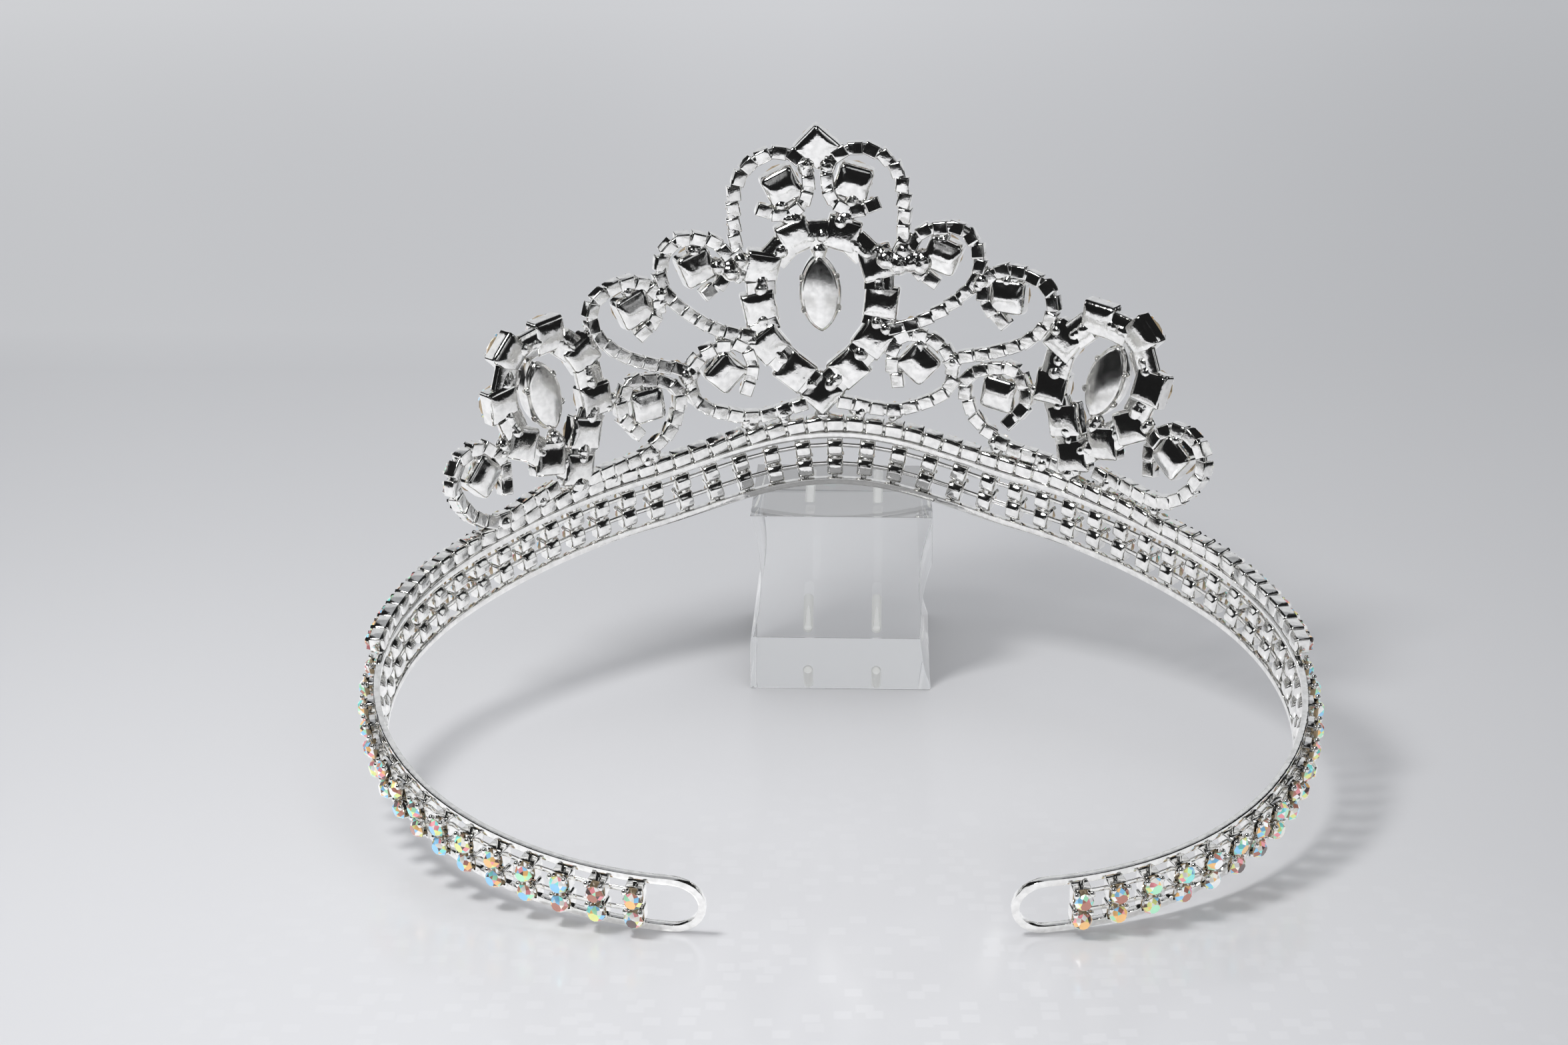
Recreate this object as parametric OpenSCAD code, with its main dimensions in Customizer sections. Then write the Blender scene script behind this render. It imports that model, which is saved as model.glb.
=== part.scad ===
// Rhinestone tiara resting on a clear block stand.
// The band is an open C that lies tilted: its two ends rest on the table and its
// front rests on the block, with the crest of rings and scrolls standing on it.
// +X is right, +Y is the way the stones of the front face, +Z is up.
// The origin is on the table under the tiara's middle line, halfway along the stand's foot.

/* [Stand] */
// Width of the block
stand_w = 30; // [26:0.5:36]
// Depth of the block at its foot
foot_d = 40; // [30:0.5:44]
// Depth of the block at its top
top_d = 31; // [24:0.5:40]
// Height of the block
stand_h = 30; // [26:0.5:34]
// How far each side is hollowed
stand_waist = 1.8; // [0.5:0.1:3]
// Height of each hollow, low on the right side and high on the left
waist_h = 22; // [16:1:30]
// How far the block stands to the right of the tiara's middle
stand_shift = 1.5; // [-3:0.5:3]
// How far the block is turned on the table
stand_turn = 1.5; // [-5:0.5:5]
// Distance from the block's upright face to the band's seat on it
seat_inset = 8; // [6:0.5:14]
// Diameter of the two peg holes
peg_d = 1.7; // [1:0.1:2.5]
// Length of each peg hole
peg_l = 8.5; // [5:0.5:14]
// Distance between the peg holes
peg_gap = 11.8; // [8:0.2:16]
// Height of the peg holes' mouths, in the leaning face
peg_z = 7.8; // [5:0.2:12]
// Slope of the peg holes
peg_slope = 30; // [0:1:40]

/* [Band plan] */
// Radius of the front arc
front_r = 61.5; // [58:0.5:66]
// Half angle of the front arc
front_turn = 36; // [30:1:42]
// Radius of the flatter shoulder arcs
shoulder_r = 98; // [85:1:115]
// Heading at which the shoulders end
shoulder_turn = 55; // [50:1:60]
// Radius of the sides and the back
side_r = 49; // [46:0.5:54]
// Length of the band's middle line from the front to each end
half_length = 176; // [170:0.5:182]
// How far the band's ends are bent to the right of the front's middle
end_shift = 2.5; // [-4:0.5:4]
// How far the front arches up over the stand
rise_h = 4; // [2:0.2:6]
// Half width of that arch, along the band
rise_w = 32; // [26:1:40]
// Clearance between the band and the block
seat_gap = 0.1; // [0.05:0.05:0.3]

/* [Band] */
// Height of the band over both rails
band_h = 9.6; // [9:0.1:11]
// Thickness of the rails, inside to outside
rail_w = 1; // [0.8:0.1:1.3]
// Height of each rail
rail_h = 1.1; // [0.8:0.1:1.3]
// Outward lean of the band
band_flare = 4; // [0:1:8]
// Shortest distance from the last column to where an end loop starts
end_clear = 4; // [3:0.5:8]
// Distance between columns
column_pitch = 5.05; // [4.6:0.05:5.1]
// Distance between the two rows
row_pitch = 3.45; // [3.1:0.05:3.7]
// Width of a band cup
cup_w = 2.8; // [2.4:0.1:3]
// Height of a band cup
cup_h = 2.7; // [2.4:0.1:2.8]
// Depth of a band cup
cup_d = 2; // [1.6:0.1:2.4]
// Width of the bar that carries a column
bar_w = 0.8; // [0.6:0.1:1.2]
// Diameter of a band stone
band_stone_d = 2.7; // [2.2:0.1:2.8]

/* [Crest chain] */
// Longest distance of a cup from the middle one, along the band
crest_half = 96; // [76:1:97]
// Distance between cups
crest_pitch = 3.17; // [2.9:0.01:3.4]
// Width and height of a cup
crest_cup = 2.6; // [2.2:0.1:2.8]
// Diameter of a stone
crest_stone_d = 2.4; // [2:0.1:2.6]

/* [Scrolls] */
// Outward lean of the crest above the band
crest_flare = 14; // [8:1:20]
// How far the crest is set off to the left
crest_shift = -2; // [-4:0.5:4]
// How far the crest leans to the left, in degrees
crest_lean = 0.8; // [-2:0.1:2]
// Distance between scroll cups
scroll_pitch = 2.65; // [2.5:0.05:3]
// Width and height of a scroll cup
scroll_cup = 2.25; // [2:0.05:2.4]
// Depth of a scroll cup
scroll_cup_d = 1.7; // [1.4:0.1:2]
// Radius of a solder joint
solder_r = 1.2; // [1:0.1:1.6]

/* [Large stones] */
// Diameter of a ring stone
ring_stone_d = 5.5; // [5:0.1:5.8]
// Width of a ring cup at its back
ring_cup_back = 4.7; // [4.2:0.1:5.2]
// Depth of a large cup
large_cup_d = 3.1; // [2.6:0.1:3.6]
// Diameter of a scroll's centre stone
curl_stone_d = 6.2; // [5.6:0.1:6.4]
// Width of a scroll's centre cup at its back
curl_cup_back = 5.4; // [5:0.1:5.8]
// Metal round a stone at the mouth of its cup
cup_wall = 0.3; // [0.25:0.05:0.4]
// Depth to which a stone is let into its cup
stone_seat = 1; // [0.8:0.1:1.2]
// Clearance round each stone
stone_gap = 0.12; // [0.1:0.01:0.16]
// Length of a pointed stone
navette_l = 12.6; // [11:0.2:13]
// Width of a pointed stone
navette_w = 6; // [5:0.2:6.4]
// Rim of metal round a pointed stone
navette_rim = 0.6; // [0.5:0.05:0.8]

/* [Hidden] */
RING = ["ring_stone_1", "ring_stone_2", "ring_stone_3", "ring_stone_4", "ring_stone_5", "ring_stone_6",
    "ring_stone_7", "ring_stone_8", "ring_stone_9", "ring_stone_10", "ring_stone_11"];
CURLS = ["finial_stone_left", "finial_stone_right", "upper_stone_left", "upper_stone_right",
    "outer_stone_left", "outer_stone_right", "side_stone_left", "side_stone_right",
    "foot_stone_left", "foot_stone_right", "end_stone_left", "end_stone_right", "finial_stone_top"];

// Routes of the scrolls on the right half, as chosen points [along the band, above the crest chain].
HEART = [[7.6, 36.1], [5.3, 34.9], [3, 35.5], [1.6, 37.5], [1.3, 40.1], [1.7, 42.5], [3.4, 44.4],
    [6, 45.2], [8.8, 44.3], [10.8, 42.1], [11.7, 39.3], [11.9, 35.9], [11.9, 32.5], [11.6, 29.7], [10, 27.5]];
UPPER = [[16.3, 25.4], [14, 26.6], [13, 29.4], [14.6, 32.8], [17.3, 34.4], [19.9, 35], [22, 33.6], [23, 30.9],
    [22.9, 28.2], [21.4, 25.1], [19.3, 22.3], [16.8, 19.7], [14, 17.6], [11.2, 16.3]];
OUTER = [[27, 22], [24.9, 23.7], [23.9, 26.6], [25.5, 29.5], [28.3, 30.7], [31.4, 30.3], [33.6, 29.1],
    [34.6, 26.7], [34.3, 23.9], [32.8, 21.6], [30.8, 19.4], [28.5, 17.8], [26, 16.3], [23.8, 15.2],
    [21.6, 14.1], [20.2, 12.7]];
SIDE = [[30.3, 6.1], [32.3, 9.3], [31.8, 12.1], [30, 14.4], [26.6, 13.9], [23.5, 12.1], [22.4, 9.6],
    [23.3, 6.8], [24.8, 4.6], [27, 3.2], [29.2, 2], [31.9, 1.4], [34.6, 1.2], [37.5, 1.1], [39.3, 1]];
FOOT = [[11.8, 7.5], [10.8, 10.7], [11.8, 14.4], [15, 15.7], [17.6, 15.3], [20, 13.4], [20.3, 10.4],
    [19.9, 8.4], [17.9, 5.9], [15.1, 4.1], [12.5, 2.7], [9.2, 2.1], [6.3, 2.3], [3.6, 2.6]];
END = [[55.7, 6.1], [55.1, 9.2], [55.8, 11.5], [58.3, 13.8], [61.5, 14], [64, 12.7], [65.3, 9.9], [64.4, 6.6],
    [62.7, 3.9], [59.8, 1.8], [56, 1.2], [53, 1.5], [50, 1.7], [47.2, 1.9]];
SCROLLS = [HEART, UPPER, OUTER, SIDE, FOOT, END];

// Cups of the two kinds of ring on the right half: [along the band, above the crest chain, turn].
CENTRE_RING = [[0, 4.4, 45], [4.2, 8.5, -45], [7.9, 13.8, -28], [9, 20.2, 0],
    [8.3, 26.7, 23], [3.25, 30.9, -17]];
OVAL_RING = [[41.6, 3.5, 20], [39.1, 8.7, 20], [36.2, 13.6, 0], [37.1, 21.4, -28], [42, 26.5, 0],
    [49.2, 25.9, -38], [52.6, 18.8, 0], [50.8, 11.5, 30], [46.4, 7.2, 18]];
// Centre cups of the scrolls, in the same columns and in the order of CURLS.
CURL_CUPS = [[4.9, 39.4, 42], [17.6, 29.8, 7], [27.6, 26.2, 8], [27.8, 9.8, 0], [15, 11.1, -36],
    [59.2, 9.3, -45]];
// The cup of the finial stands on the tops of the two hearts.
finial_lift = 0.7;
FINIAL = [0, HEART[6][1] + finial_lift, 45];
NAVETTES = [[0, 21.1, 0], [44.9, 17.1, -12]];
// Solder joints between scrolls, rings and the crest chain: [along the band, above the crest chain].
SOLDER = [[10.4, 16], [12.2, 28.4], [8.6, 28], [3.6, 33.6], [23.5, 27], [20.6, 13], [35.6, 23.3], [34.2, 12.4],
    [54.2, 12.2], [57.6, 0.4], [41.8, 0.6], [28.6, 1.2], [17.6, 32.6], [27.9, 28.9], [27.6, 12.3], [15.3, 13.8],
    [58.9, 12.2], [5.2, 36.6], [5.6, 1.2], [12, 1.4], [36, 0.4], [49, 0.6], [1.3, 42.6]];

// Counts that follow from the lengths, on each side of the middle one.
crest_cups = floor(crest_half / crest_pitch);
crest_depth = 1.9;
crest_bite = 0.1;
crest_top = band_h + crest_cup - crest_bite;
// How far each part stands out from the band's inner face, and the sizes of bars and links.
cup_set = 0.12;
crest_set = 0.07;
bar_set = 0.2;
bar_d = rail_w - 0.35;
link_set = 0.4;
link_d = 0.8;
link_h = 0.9;
ring_link_set = 0.7;
ring_link_d = 1.1;
ring_link_h = 1.4;
solder_set = 0.9;
// The joints that hold the pointed settings: [along, above, out, radius] from the setting's middle.
CENTRE_HANG = [0, navette_l / 2 + 1.2, 1.3, 1.9];
SIDE_HANG = [-0.7, -7.5, 1.2, 1.5];
// The joint under the centre ring: [along, above, out].
RING_FOOT = [0, 0.6, 1];
navette_dome_r = 34;
navette_dome_set = 0.2;
stone_base = 0.1;
crown_share = 0.42;
table_share = 0.58;
culet_share = 0.5;
rail_step = 5;
hollow_steps = 24;
loop_r = (band_h - rail_h) / 2;
loop_s = half_length - loop_r - rail_h / 2;
columns = floor((loop_s - end_clear) / column_pitch);
ring_cup_front = ring_stone_d + 2 * cup_wall + 2 * stone_gap;
curl_cup_front = curl_stone_d + 2 * cup_wall + 2 * stone_gap;

// The plan is three tangent arcs a side, closed so far that the back just reaches depth 0.
front_l = front_r * front_turn * PI / 180;
shoulder_l = shoulder_r * (shoulder_turn - front_turn) * PI / 180;
shoulder_c = heading(front_turn) * (front_r - shoulder_r);
side_c = shoulder_c + heading(shoulder_turn) * (shoulder_r - side_r);
depth = side_r - side_c[1];
front_v = front_r + depth;

function heading(a) = [sin(a), cos(a)];
function unit(v) = v / norm(v);
function plan_turn(q) = q < front_l ? q / front_r * 180 / PI
    : q < front_l + shoulder_l ? front_turn + (q - front_l) / shoulder_r * 180 / PI
    : shoulder_turn + (q - front_l - shoulder_l) / side_r * 180 / PI;
function plan_point(q) = let (a = plan_turn(q))
    (q < front_l ? heading(a) * front_r
    : q < front_l + shoulder_l ? shoulder_c + heading(a) * shoulder_r
    : side_c + heading(a) * side_r) + [0, depth];
function rise(s) = abs(s) < rise_w ? rise_h * pow(cos(90 * s / rise_w), 2) : 0;

// The tilt brings the front rail down to the block's top edge, and the band's ends to the table.
seat_x = stand_w / 2 + stand_shift;
seat_turn = asin(seat_x / front_r);
seat_s = front_l * seat_turn / front_turn;
seat_v = plan_point(seat_s)[1];
seat_reach = norm([seat_v + rail_w, rise(seat_s)]);
tilt = asin((stand_h + seat_gap) / seat_reach) - atan2(rise(seat_s), seat_v + rail_w);
start_y = seat_inset - foot_d / 2 - seat_v * cos(tilt) + rise(seat_s) * sin(tilt);

// A place on the band: s along it from the middle, t up its face, n outward from its inner face.
function lean_out(t) = t < crest_top ? t * sin(band_flare)
    : crest_top * sin(band_flare) + (t - crest_top) * sin(crest_flare);
function climb(t) = t < crest_top ? t * cos(band_flare)
    : crest_top * cos(band_flare) + (t - crest_top) * cos(crest_flare);
function place(s, t, n = 0) = let (
    side = s < 0 ? -1 : 1,
    p = plan_point(abs(s)),
    h = heading(plan_turn(abs(s))),
    v = p[1] + h[1] * (n + lean_out(t)),
    u = climb(t) + rise(s))
    [side * (p[0] + h[0] * (n + lean_out(t))) + end_shift * pow(1 - p[1] / front_v, 4),
    start_y + v * cos(tilt) - u * sin(tilt), (v + rail_w) * sin(tilt) + u * cos(tilt)];

// The same place as a frame: x along the band, y outward, z up its face.
function frame_at(s, t) = let (
    e = 0.05,
    o = place(s, t),
    x = unit(place(s + e, t) - place(s - e, t)),
    z0 = place(s, t + e) - place(s, t),
    y = unit(cross(z0, x)),
    z = cross(x, y))
    [[x[0], y[0], z[0], o[0]], [x[1], y[1], z[1], o[1]], [x[2], y[2], z[2], o[2]], [0, 0, 0, 1]];
module at(s, t, turn = 0) {
    multmatrix(frame_at(s, t)) rotate([0, -turn, 0]) children();
}

// A point of the crest, given on the right half, with the crest's own shift and lean.
function crest_point(p, side) = let (s = side * p[0])
    [s + crest_shift - p[1] * tan(crest_lean), crest_top + p[1] + s * tan(crest_lean)];
module at_crest(p, side, turn = 0) {
    c = crest_point(p, side);
    at(c[0], c[1], side * turn + crest_lean) children();
}

// A smooth curve through chosen points, and the points that divide it into equal steps.
function bend(a, b, c, d, w) = 0.5 * (2 * b + (c - a) * w + (2 * a - 5 * b + 4 * c - d) * w * w
    + (3 * b - a - 3 * c + d) * w * w * w);
function smooth(p, n = 8) = let (m = len(p) - 1)
    [for (i = [0:m - 1], k = [0:n - 1])
        bend(p[max(i - 1, 0)], p[i], p[i + 1], p[min(i + 2, m)], k / n), p[m]];
function reach(p, i = 0, sum = 0) = i >= len(p) ? []
    : let (l = i == 0 ? 0 : sum + norm(place(p[i][0], p[i][1]) - place(p[i - 1][0], p[i - 1][1])))
    concat([l], reach(p, i + 1, l));
function at_length(p, r, l) = let (
    k = max([for (i = [0:len(r) - 2]) r[i] <= l ? i : 0]),
    w = (l - r[k]) / (r[k + 1] - r[k]))
    p[k] + (p[k + 1] - p[k]) * w;
function beads(route, side) = let (
    c = [for (q = smooth(route)) crest_point(q, side)],
    r = reach(c),
    total = r[len(r) - 1],
    n = round(total / scroll_pitch))
    [for (i = [0:2 * n]) at_length(c, r, min(total - 0.001, total * i / (2 * n)))];

// Stand: the two hollows are shallow arcs, low on the right side and high on the left.
function hollow(side, bottom) = let (
    r = (pow(waist_h / 2, 2) + pow(stand_waist, 2)) / (2 * stand_waist),
    half = asin(waist_h / 2 / r),
    n = hollow_steps)
    [for (i = [0:n]) let (a = half * (2 * i / n - 1))
        [side * (stand_w / 2 - stand_waist + r - r * cos(a)), bottom + waist_h / 2 + r * sin(a)]];
module stand() {
    face_y = foot_d / 2 - (foot_d - top_d) * peg_z / stand_h;
    left = hollow(-1, stand_h - waist_h);
    right = hollow(1, 0);
    color([0.93, 0.95, 0.96, 0.4]) translate([stand_shift, 0, 0]) rotate([0, 0, -stand_turn]) difference() {
        intersection() {
            translate([-stand_w / 2, 0, 0]) rotate([90, 0, 90]) linear_extrude(stand_w)
                polygon([[-foot_d / 2, 0], [foot_d / 2, 0], [top_d - foot_d / 2, stand_h],
                    [-foot_d / 2, stand_h]]);
            translate([0, foot_d / 2 + 1, 0]) rotate([90, 0, 0]) linear_extrude(foot_d + 2)
                polygon(concat(right, [[stand_w / 2, stand_h]],
                    [for (i = [len(left) - 1:-1:0]) left[i]], [[-stand_w / 2, 0]]));
        }
        for (side = [-1, 1]) translate([side * peg_gap / 2, face_y, peg_z]) rotate([90 + peg_slope, 0, 0])
            translate([0, 0, -1]) cylinder(h = peg_l + 1, d = peg_d, $fn = 24);
    }
}

// A large cup: a tapered square box with a round pocket in its mouth.
module large_cup(back, front, stone) {
    b = back / 2;
    f = front / 2;
    difference() {
        polyhedron(
            points = [[-b, 0, -b], [b, 0, -b], [b, 0, b], [-b, 0, b],
                [-f, large_cup_d, -f], [f, large_cup_d, -f], [f, large_cup_d, f], [-f, large_cup_d, f]],
            faces = [[3, 2, 1, 0], [4, 5, 6, 7], [1, 5, 4, 0], [2, 6, 5, 1], [3, 7, 6, 2], [0, 4, 7, 3]]);
        translate([0, large_cup_d - stone_seat, 0]) rotate([-90, 0, 0])
            cylinder(h = stone_seat + 1, d = stone + 2 * stone_gap, $fn = 36);
    }
}
module pointed_outline(half_w, half_l, grow = 0) {
    r = (half_w * half_w + half_l * half_l) / (2 * half_w);
    intersection_for (side = [-1, 1]) translate([side * (r - half_w), 0]) circle(r = r + grow, $fn = 120);
}
// A setting for a pointed stone: a smooth domed back with a pocket for the stone.
module navette_cup() {
    difference() {
        intersection() {
            rotate([-90, 0, 0]) linear_extrude(large_cup_d)
                pointed_outline(navette_w / 2, navette_l / 2, navette_rim);
            translate([0, navette_dome_r - navette_dome_set, 0]) sphere(r = navette_dome_r, $fn = 180);
        }
        translate([0, large_cup_d - stone_seat, 0]) rotate([-90, 0, 0]) linear_extrude(stone_seat + 1)
            pointed_outline(navette_w / 2, navette_l / 2, stone_gap);
    }
}

// Band metal: one closed wire for both rails and the end loops, and the bars and cups between.
function loop_path() = let (
    n = ceil(2 * loop_s / rail_step),
    up = band_h - rail_h / 2,
    low = rail_h / 2,
    mid = band_h / 2)
    concat(
        [for (i = [0:n]) [loop_s * (2 * i / n - 1), low, 0, -1]],
        [for (a = [-60:30:60]) [loop_s + loop_r * cos(a), mid + loop_r * sin(a), cos(a), sin(a)]],
        [for (i = [n:-1:0]) [loop_s * (2 * i / n - 1), up, 0, 1]],
        [for (a = [120:30:240]) [-loop_s + loop_r * cos(a), mid + loop_r * sin(a), cos(a), sin(a)]]);
module rails() {
    path = loop_path();
    n = len(path);
    corners = [[-1, 0], [1, 0], [1, 1], [-1, 1]];
    points = [for (p = path, c = corners)
        place(p[0] + p[2] * c[0] * rail_h / 2, p[1] + p[3] * c[0] * rail_h / 2, c[1] * rail_w)];
    faces = [for (i = [0:n - 1], k = [0:3]) let (j = (i + 1) % n, m = (k + 1) % 4)
        [4 * j + k, 4 * j + m, 4 * i + m, 4 * i + k]];
    polyhedron(points = points, faces = faces, convexity = 12);
}
module column_cups(s) {
    at(s, band_h / 2) {
        translate([-bar_w / 2, bar_set, -band_h / 2 + rail_h / 2])
            cube([bar_w, bar_d, band_h - rail_h]);
        for (row = [-1, 1]) translate([-cup_w / 2, cup_set, row * row_pitch / 2 - cup_h / 2])
            cube([cup_w, cup_d, cup_h]);
    }
}
module crest_chain() {
    for (i = [-crest_cups:crest_cups])
        at(i * crest_pitch, crest_top - crest_cup / 2)
        translate([-crest_cup / 2, crest_set, -crest_cup / 2]) cube([crest_cup, crest_depth, crest_cup]);
}
module scroll(route, side) {
    b = beads(route, side);
    for (i = [0:len(b) - 1]) {
        d = b[min(i + 1, len(b) - 1)] - b[max(i - 1, 0)];
        at(b[i][0], b[i][1], atan2(d[1], d[0]))
            if (i % 2 == 0) translate([-scroll_cup / 2, 0, -scroll_cup / 2])
                cube([scroll_cup, scroll_cup_d, scroll_cup]);
            else translate([-scroll_pitch / 2 + scroll_cup / 4, link_set, -link_h / 2])
                cube([scroll_pitch - scroll_cup / 2, link_d, link_h]);
    }
}
module crest_link(a, b, side_a, side_b) {
    p = crest_point(a, side_a);
    q = crest_point(b, side_b);
    m = (p + q) / 2;
    l = norm(place(p[0], p[1]) - place(q[0], q[1]));
    at(m[0], m[1], atan2(q[1] - p[1], q[0] - p[0]))
        translate([-l / 2 + ring_cup_back / 3, ring_link_set, -ring_link_h / 2])
        cube([l - 2 * ring_cup_back / 3, ring_link_d, ring_link_h]);
}
module navette_hang(c, hang, side) {
    at_crest([c[0] + hang[0], c[1] + hang[1]], side) translate([0, hang[2], 0]) sphere(r = hang[3], $fn = 24);
}
module oval_ring(side) {
    n = len(OVAL_RING);
    for (c = OVAL_RING) at_crest(c, side, c[2]) large_cup(ring_cup_back, ring_cup_front, ring_stone_d);
    for (i = [0:n - 1]) crest_link(OVAL_RING[i], OVAL_RING[(i + 1) % n], side, side);
    c = NAVETTES[1];
    at_crest(c, side, c[2]) navette_cup();
    navette_hang(c, SIDE_HANG, side);
}
module centre_ring() {
    n = len(CENTRE_RING);
    for (i = [0:n - 1], side = i == 0 ? [1] : [-1, 1]) {
        c = CENTRE_RING[i];
        at_crest(c, side, c[2]) large_cup(ring_cup_back, ring_cup_front, ring_stone_d);
        if (i > 0) crest_link(CENTRE_RING[i - 1], c, side, side);
    }
    crest_link(CENTRE_RING[n - 1], CENTRE_RING[n - 1], -1, 1);
    at_crest(NAVETTES[0], 1, 0) navette_cup();
    navette_hang(NAVETTES[0], CENTRE_HANG, 1);
    at_crest(RING_FOOT, 1) translate([0, RING_FOOT[2], 0]) sphere(r = solder_r * 1.25, $fn = 24);
}
module curl_cups(side) {
    for (c = CURL_CUPS) at_crest(c, side, c[2]) large_cup(curl_cup_back, curl_cup_front, curl_stone_d);
}
module solder_joints(side) {
    for (p = SOLDER) at_crest(p, side) translate([0, solder_set, 0]) sphere(r = solder_r, $fn = 24);
}
module tiara_metal() {
    color([0.82, 0.83, 0.85]) union() {
        union() {
            rails();
            for (i = [-columns:columns]) column_cups(i * column_pitch);
            crest_chain();
        }
        for (side = [-1, 1]) {
            for (route = SCROLLS) scroll(route, side);
            oval_ring(side);
            curl_cups(side);
            solder_joints(side);
        }
        centre_ring();
        at_crest(FINIAL, 1, FINIAL[2]) large_cup(ring_cup_back, ring_cup_front, ring_stone_d);
    }
}

// Cut stones stand on y = 0 with their table at +y.
module small_stone(d) {
    h = d * crown_share;
    ring = [for (k = [0:7]) heading(45 * k + 22.5) * d / 2];
    polyhedron(
        points = concat([for (p = ring) [p[0], 0, p[1]]],
            [for (p = ring) [p[0] * table_share, h, p[1] * table_share]]),
        faces = concat([[for (k = [0:7]) k]], [[for (k = [15:-1:8]) k]],
            [for (k = [0:7]) [8 + k, 8 + (k + 1) % 8, (k + 1) % 8, k]]));
}
// A large stone: octagonal table, kites and triangles round it, a girdle and a pavilion.
function pointed_r(a, half_w, half_l) = let (
    r = (half_w * half_w + half_l * half_l) / (2 * half_w),
    c = abs(sin(a)) * (r - half_w))
    sqrt(c * c + r * r - pow(r - half_w, 2)) - c;
module cut_stone(outline, height) {
    girdle = 0.35 * height;
    edge = 0.42 * height;
    table = [for (k = [0:7]) outline[2 * k] * table_share];
    culet = [for (k = [0:7]) outline[2 * k] * culet_share];
    polyhedron(
        points = concat([for (p = culet) [p[0], 0, p[1]]], [for (p = outline) [p[0], girdle, p[1]]],
            [for (p = outline) [p[0], edge, p[1]]], [for (p = table) [p[0], height, p[1]]]),
        faces = concat([[for (k = [0:7]) k]], [[for (k = [47:-1:40]) k]],
            [for (k = [0:15]) let (m = (k + 1) % 16) [24 + k, 24 + m, 8 + m, 8 + k]],
            [for (k = [0:7]) let (m = (k + 1) % 8) each [
                [8 + 2 * k, 9 + 2 * k, k], [9 + 2 * k, m, k], [9 + 2 * k, 8 + (2 * k + 2) % 16, m],
                [25 + 2 * k, 24 + 2 * k, 40 + k], [40 + m, 25 + 2 * k, 40 + k],
                [24 + (2 * k + 2) % 16, 25 + 2 * k, 40 + m]]]));
}
module round_stone(d) {
    cut_stone([for (k = [0:15]) heading(22.5 * k) * d / 2], d * 0.5);
}
module navette_stone() {
    cut_stone([for (k = [0:15]) heading(22.5 * k) * pointed_r(22.5 * k, navette_w / 2, navette_l / 2)],
        navette_w * 0.5);
}
module seated() {
    translate([0, large_cup_d - stone_seat + stone_gap, 0]) children();
}
module band_stones() {
    color([0.85, 0.9, 1]) for (i = [-columns:columns], row = [-1, 1])
        at(i * column_pitch, band_h / 2) translate([0, cup_set + cup_d + stone_base, row * row_pitch / 2])
        small_stone(band_stone_d);
}
module crest_stones() {
    color([0.85, 0.9, 1]) for (i = [-crest_cups:crest_cups])
        at(i * crest_pitch, crest_top - crest_cup / 2) translate([0, crest_set + crest_depth + stone_base, 0])
        small_stone(crest_stone_d);
}
module oval_stones(side) {
    color([0.85, 0.9, 1]) for (c = OVAL_RING) at_crest(c, side, c[2]) seated() round_stone(ring_stone_d);
}
module ring_stone(i) {
    c = CENTRE_RING[ceil(i / 2)];
    color([0.85, 0.9, 1]) at_crest(c, i % 2 == 0 ? 1 : -1, c[2]) seated() round_stone(ring_stone_d);
}
module curl_stone(i) {
    c = i < 12 ? CURL_CUPS[floor(i / 2)] : FINIAL;
    color([0.85, 0.9, 1]) at_crest(c, i % 2 == 0 && i < 12 ? -1 : 1, c[2]) seated()
        round_stone(i < 12 ? curl_stone_d : ring_stone_d);
}
module navette(k, side) {
    color([0.85, 0.9, 1]) at_crest(NAVETTES[k], side, NAVETTES[k][2]) seated() navette_stone();
}

stand();
tiara_metal();
band_stones();
crest_stones();
oval_stones(-1);  // oval_stones_left
oval_stones(1);  // oval_stones_right
for (i = [0:len(RING) - 1]) ring_stone(i);
for (i = [0:len(CURLS) - 1]) curl_stone(i);
navette(0, 1);  // navette_centre
navette(1, -1);  // navette_left
navette(1, 1);  // navette_right
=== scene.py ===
"""Rhinestone tiara on an acrylic block stand: the looks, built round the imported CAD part.

Lengths are in millimetres up to the point where a mesh is made; every mesh is in metres.
"""

import logging
import math
import random
from dataclasses import dataclass
from enum import Enum
from functools import cached_property

import bmesh
import bpy
from mathutils import Matrix, Vector

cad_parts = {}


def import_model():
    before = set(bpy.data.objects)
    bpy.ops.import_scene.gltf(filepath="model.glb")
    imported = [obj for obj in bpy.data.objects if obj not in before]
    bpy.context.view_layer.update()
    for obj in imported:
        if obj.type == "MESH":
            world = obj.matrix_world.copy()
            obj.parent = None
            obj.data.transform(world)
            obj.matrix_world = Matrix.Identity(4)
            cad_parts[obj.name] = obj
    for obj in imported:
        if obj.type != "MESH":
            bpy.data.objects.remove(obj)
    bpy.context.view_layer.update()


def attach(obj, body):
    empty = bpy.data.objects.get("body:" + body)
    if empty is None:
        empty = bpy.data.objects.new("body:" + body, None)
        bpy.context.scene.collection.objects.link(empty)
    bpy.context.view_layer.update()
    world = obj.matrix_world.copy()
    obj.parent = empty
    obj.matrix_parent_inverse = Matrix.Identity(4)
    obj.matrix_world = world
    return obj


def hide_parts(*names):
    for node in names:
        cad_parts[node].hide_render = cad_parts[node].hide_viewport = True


LOG = logging.getLogger("tiara")
MM = 0.001

Route = tuple[tuple[float, float], ...]
Cup = tuple[float, float, float]
Size = tuple[float, float, float]
Colour = tuple[float, float, float]
Ball = tuple[Vector, float]


class Slot(Enum):
    """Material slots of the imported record."""

    ACRYLIC = "acrylic"
    METAL = "silver_metal"
    CRYSTAL = "crystal"


class Side(Enum):
    """The two halves of the crest."""

    LEFT = -1
    RIGHT = 1


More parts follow.
